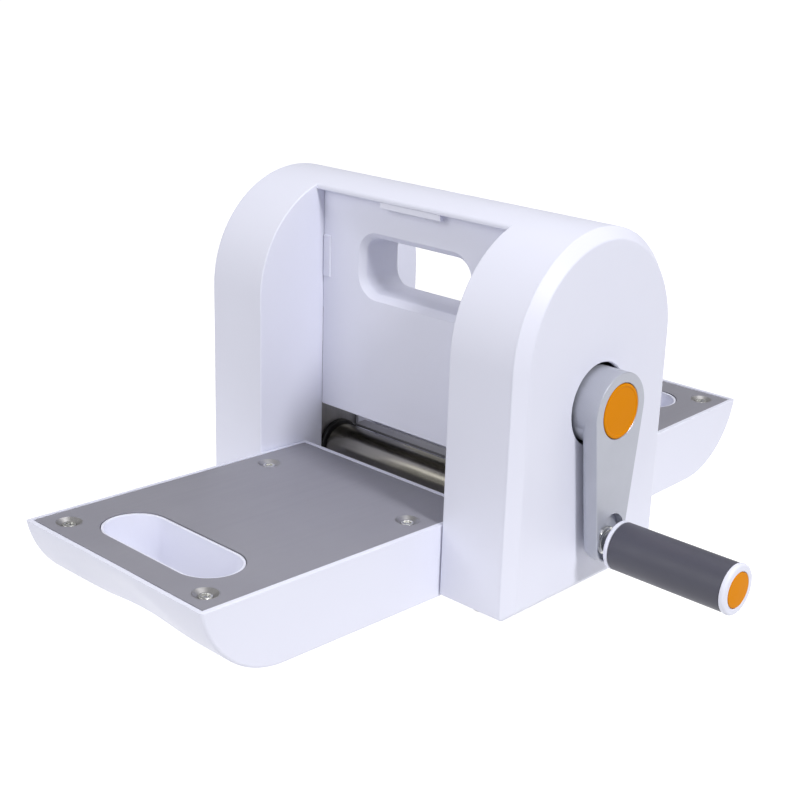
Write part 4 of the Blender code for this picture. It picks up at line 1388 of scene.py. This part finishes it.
@dataclass(frozen=True)
class Softbox:
    """An oval soft lamp that faces the machine from a direction."""

    name: str
    towards: Colour
    watts: float
    size: Point
    distance: float = 2.0
    aim_z: float = 0.11

    def build(self) -> None:
        """Hangs the lamp."""
        lamp_data = bpy.data.lights.new(self.name, "AREA")
        lamp_data.shape = "ELLIPSE"
        lamp_data.size, lamp_data.size_y = self.size
        lamp_data.energy = self.watts
        lamp = bpy.data.objects.new(self.name, lamp_data)
        away = Vector(self.towards).normalized()
        lamp.location = Vector((0.0, 0.0, self.aim_z)) + away * self.distance
        lamp.rotation_mode = "QUATERNION"
        lamp.rotation_quaternion = away.to_track_quat("Z", "Y")
        bpy.context.scene.collection.objects.link(lamp)


@dataclass
class Studio:
    """A white table that glows softly, an even surround, soft lamps and the camera."""

    floor_half: float = 14.0
    floor_glow: float = 0.95
    surround: Point = (0.30, 0.36)
    softboxes: tuple[Softbox, ...] = (
        Softbox("crank_side", (1.0, -0.18, 0.78), 23.0, (0.35, 0.35)),
        Softbox("behind", (0.75, 0.90, 0.90), 2.5, (0.9, 0.9)),
        Softbox("front_fill", (-0.20, -1.0, 0.45), 12.5, (1.4, 1.4)),
        Softbox("overhead", (0.0, 0.30, 1.0), 8.5, (1.2, 1.2)),
        Softbox("roller_glint", (-0.65, -0.66, 0.66), 1.5, (0.5, 0.5)),
        Softbox("table_bounce", (0.0, 0.0, -1.0), 1.3, (0.75, 1.15), 0.135),
    )
    camera_place: Corner = (0.61213, -0.67862, 0.40303)
    azimuth: float = math.radians(43.213)
    elevation: float = math.radians(18.982)
    roll: float = math.radians(1.823)
    lens: float = 64.81

    def build_floor(self) -> None:
        """The table, level with the undersides of the feet."""
        foot_low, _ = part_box("front_left_foot")
        half, level = self.floor_half, foot_low.z - 0.0002
        rings = [circle((0.0, 0.0), radius, 64) for radius in (0.4, 1.2, 4.0, half)]
        shell = bmesh.new()
        rows = [[shell.verts.new((x, y, level)) for x, y in ring] for ring in rings]
        shell.faces.new(rows[0])
        for inner, outer in zip(rows, rows[1:]):
            for index in range(64):
                after = (index + 1) % 64
                shell.faces.new((inner[index], outer[index], outer[after], inner[after]))
        bmesh.ops.recalc_face_normals(shell, faces=shell.faces)
        mesh = bpy.data.meshes.new("table")
        shell.to_mesh(mesh)
        shell.free()
        made = bpy.data.materials.new("white_table")
        graph = Graph(made)
        tone = graph.remap(graph.noise(3.0, 2.0), (0.3, 0.7), (0.0, 1.0))
        graph.surface(
            {
                "Base Color": graph.blend(tone, (0.30, 0.30, 0.30), (0.31, 0.31, 0.31)),
                "Roughness": 0.9,
                "Specular IOR Level": 0.0,
                "Emission Color": (1.0, 1.0, 1.0, 1.0),
                "Emission Strength": self.floor_glow,
            }
        )
        mesh.materials.append(made)
        floor = bpy.data.objects.new("table", mesh)
        floor.visible_diffuse = False
        floor.visible_shadow = False
        bpy.context.scene.collection.objects.link(floor)
        floor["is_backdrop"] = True

    def build_light(self) -> None:
        """The surround, a little darker below the table's level, and the lamps."""
        world = bpy.data.worlds.new("surround")
        bpy.context.scene.world = world
        graph = Graph(world)
        sky = graph.add("ShaderNodeTexCoord", {}, {}, "Generated")
        ends = {0: sky, 1: (0.0, 0.0, 1.0)}
        up = graph.add("ShaderNodeVectorMath", {"operation": "DOT_PRODUCT"}, ends, "Value")
        strength = graph.remap(up, (-0.3, 0.3), self.surround)
        colour = (1.0, 1.0, 1.0, 1.0)
        back = graph.add("ShaderNodeBackground", {}, {"Color": colour, "Strength": strength}, 0)
        graph.make("ShaderNodeOutputWorld", {}, {"Surface": back})
        for softbox in self.softboxes:
            softbox.build()

    def build_camera(self) -> None:
        """The camera, turned by azimuth, elevation and a slight roll."""
        back = Vector(
            (
                math.sin(self.azimuth) * math.cos(self.elevation),
                -math.cos(self.azimuth) * math.cos(self.elevation),
                math.sin(self.elevation),
            )
        )
        right = Vector((math.cos(self.azimuth), math.sin(self.azimuth), 0.0))
        up = back.cross(right)
        across = right * math.cos(self.roll) + up * math.sin(self.roll)
        upward = up * math.cos(self.roll) - right * math.sin(self.roll)
        data = bpy.data.cameras.new("camera")
        data.lens = self.lens
        data.sensor_width = 36.0
        data.clip_start, data.clip_end = 0.05, 60.0
        camera = bpy.data.objects.new("camera", data)
        turn = Matrix((across, upward, back)).transposed().to_4x4()
        camera.matrix_world = Matrix.Translation(self.camera_place) @ turn
        bpy.context.scene.collection.objects.link(camera)
        bpy.context.scene.camera = camera

    def build(self) -> None:
        """Sets the whole studio up."""
        self.build_floor()
        self.build_light()
        self.build_camera()
        bpy.context.scene.view_settings.view_transform = "Standard"


def main() -> None:
    """Builds every sub-assembly in order."""
    logging.basicConfig(level=logging.INFO, format="%(message)s")
    parts = (
        Studio(),
        Tower("left", -1),
        Tower("right", 1),
        CentreWall("front", -1),
        CentreWall("rear", 1),
        TopBar(),
        Roller("lower"),
        Roller("upper"),
        Crank(),
        Grip(),
        Tray("front", -1),
        Tray("rear", 1),
        Works(),
    )
    for part in parts:
        part.build()


def write_sizes() -> None:
    """Works out the CAD's box and the visual model's box."""
    [[list(corner) for corner in box] for box in (CAD_BOUNDS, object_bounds())]


if __name__ == "__main__":
    main()
    write_sizes()
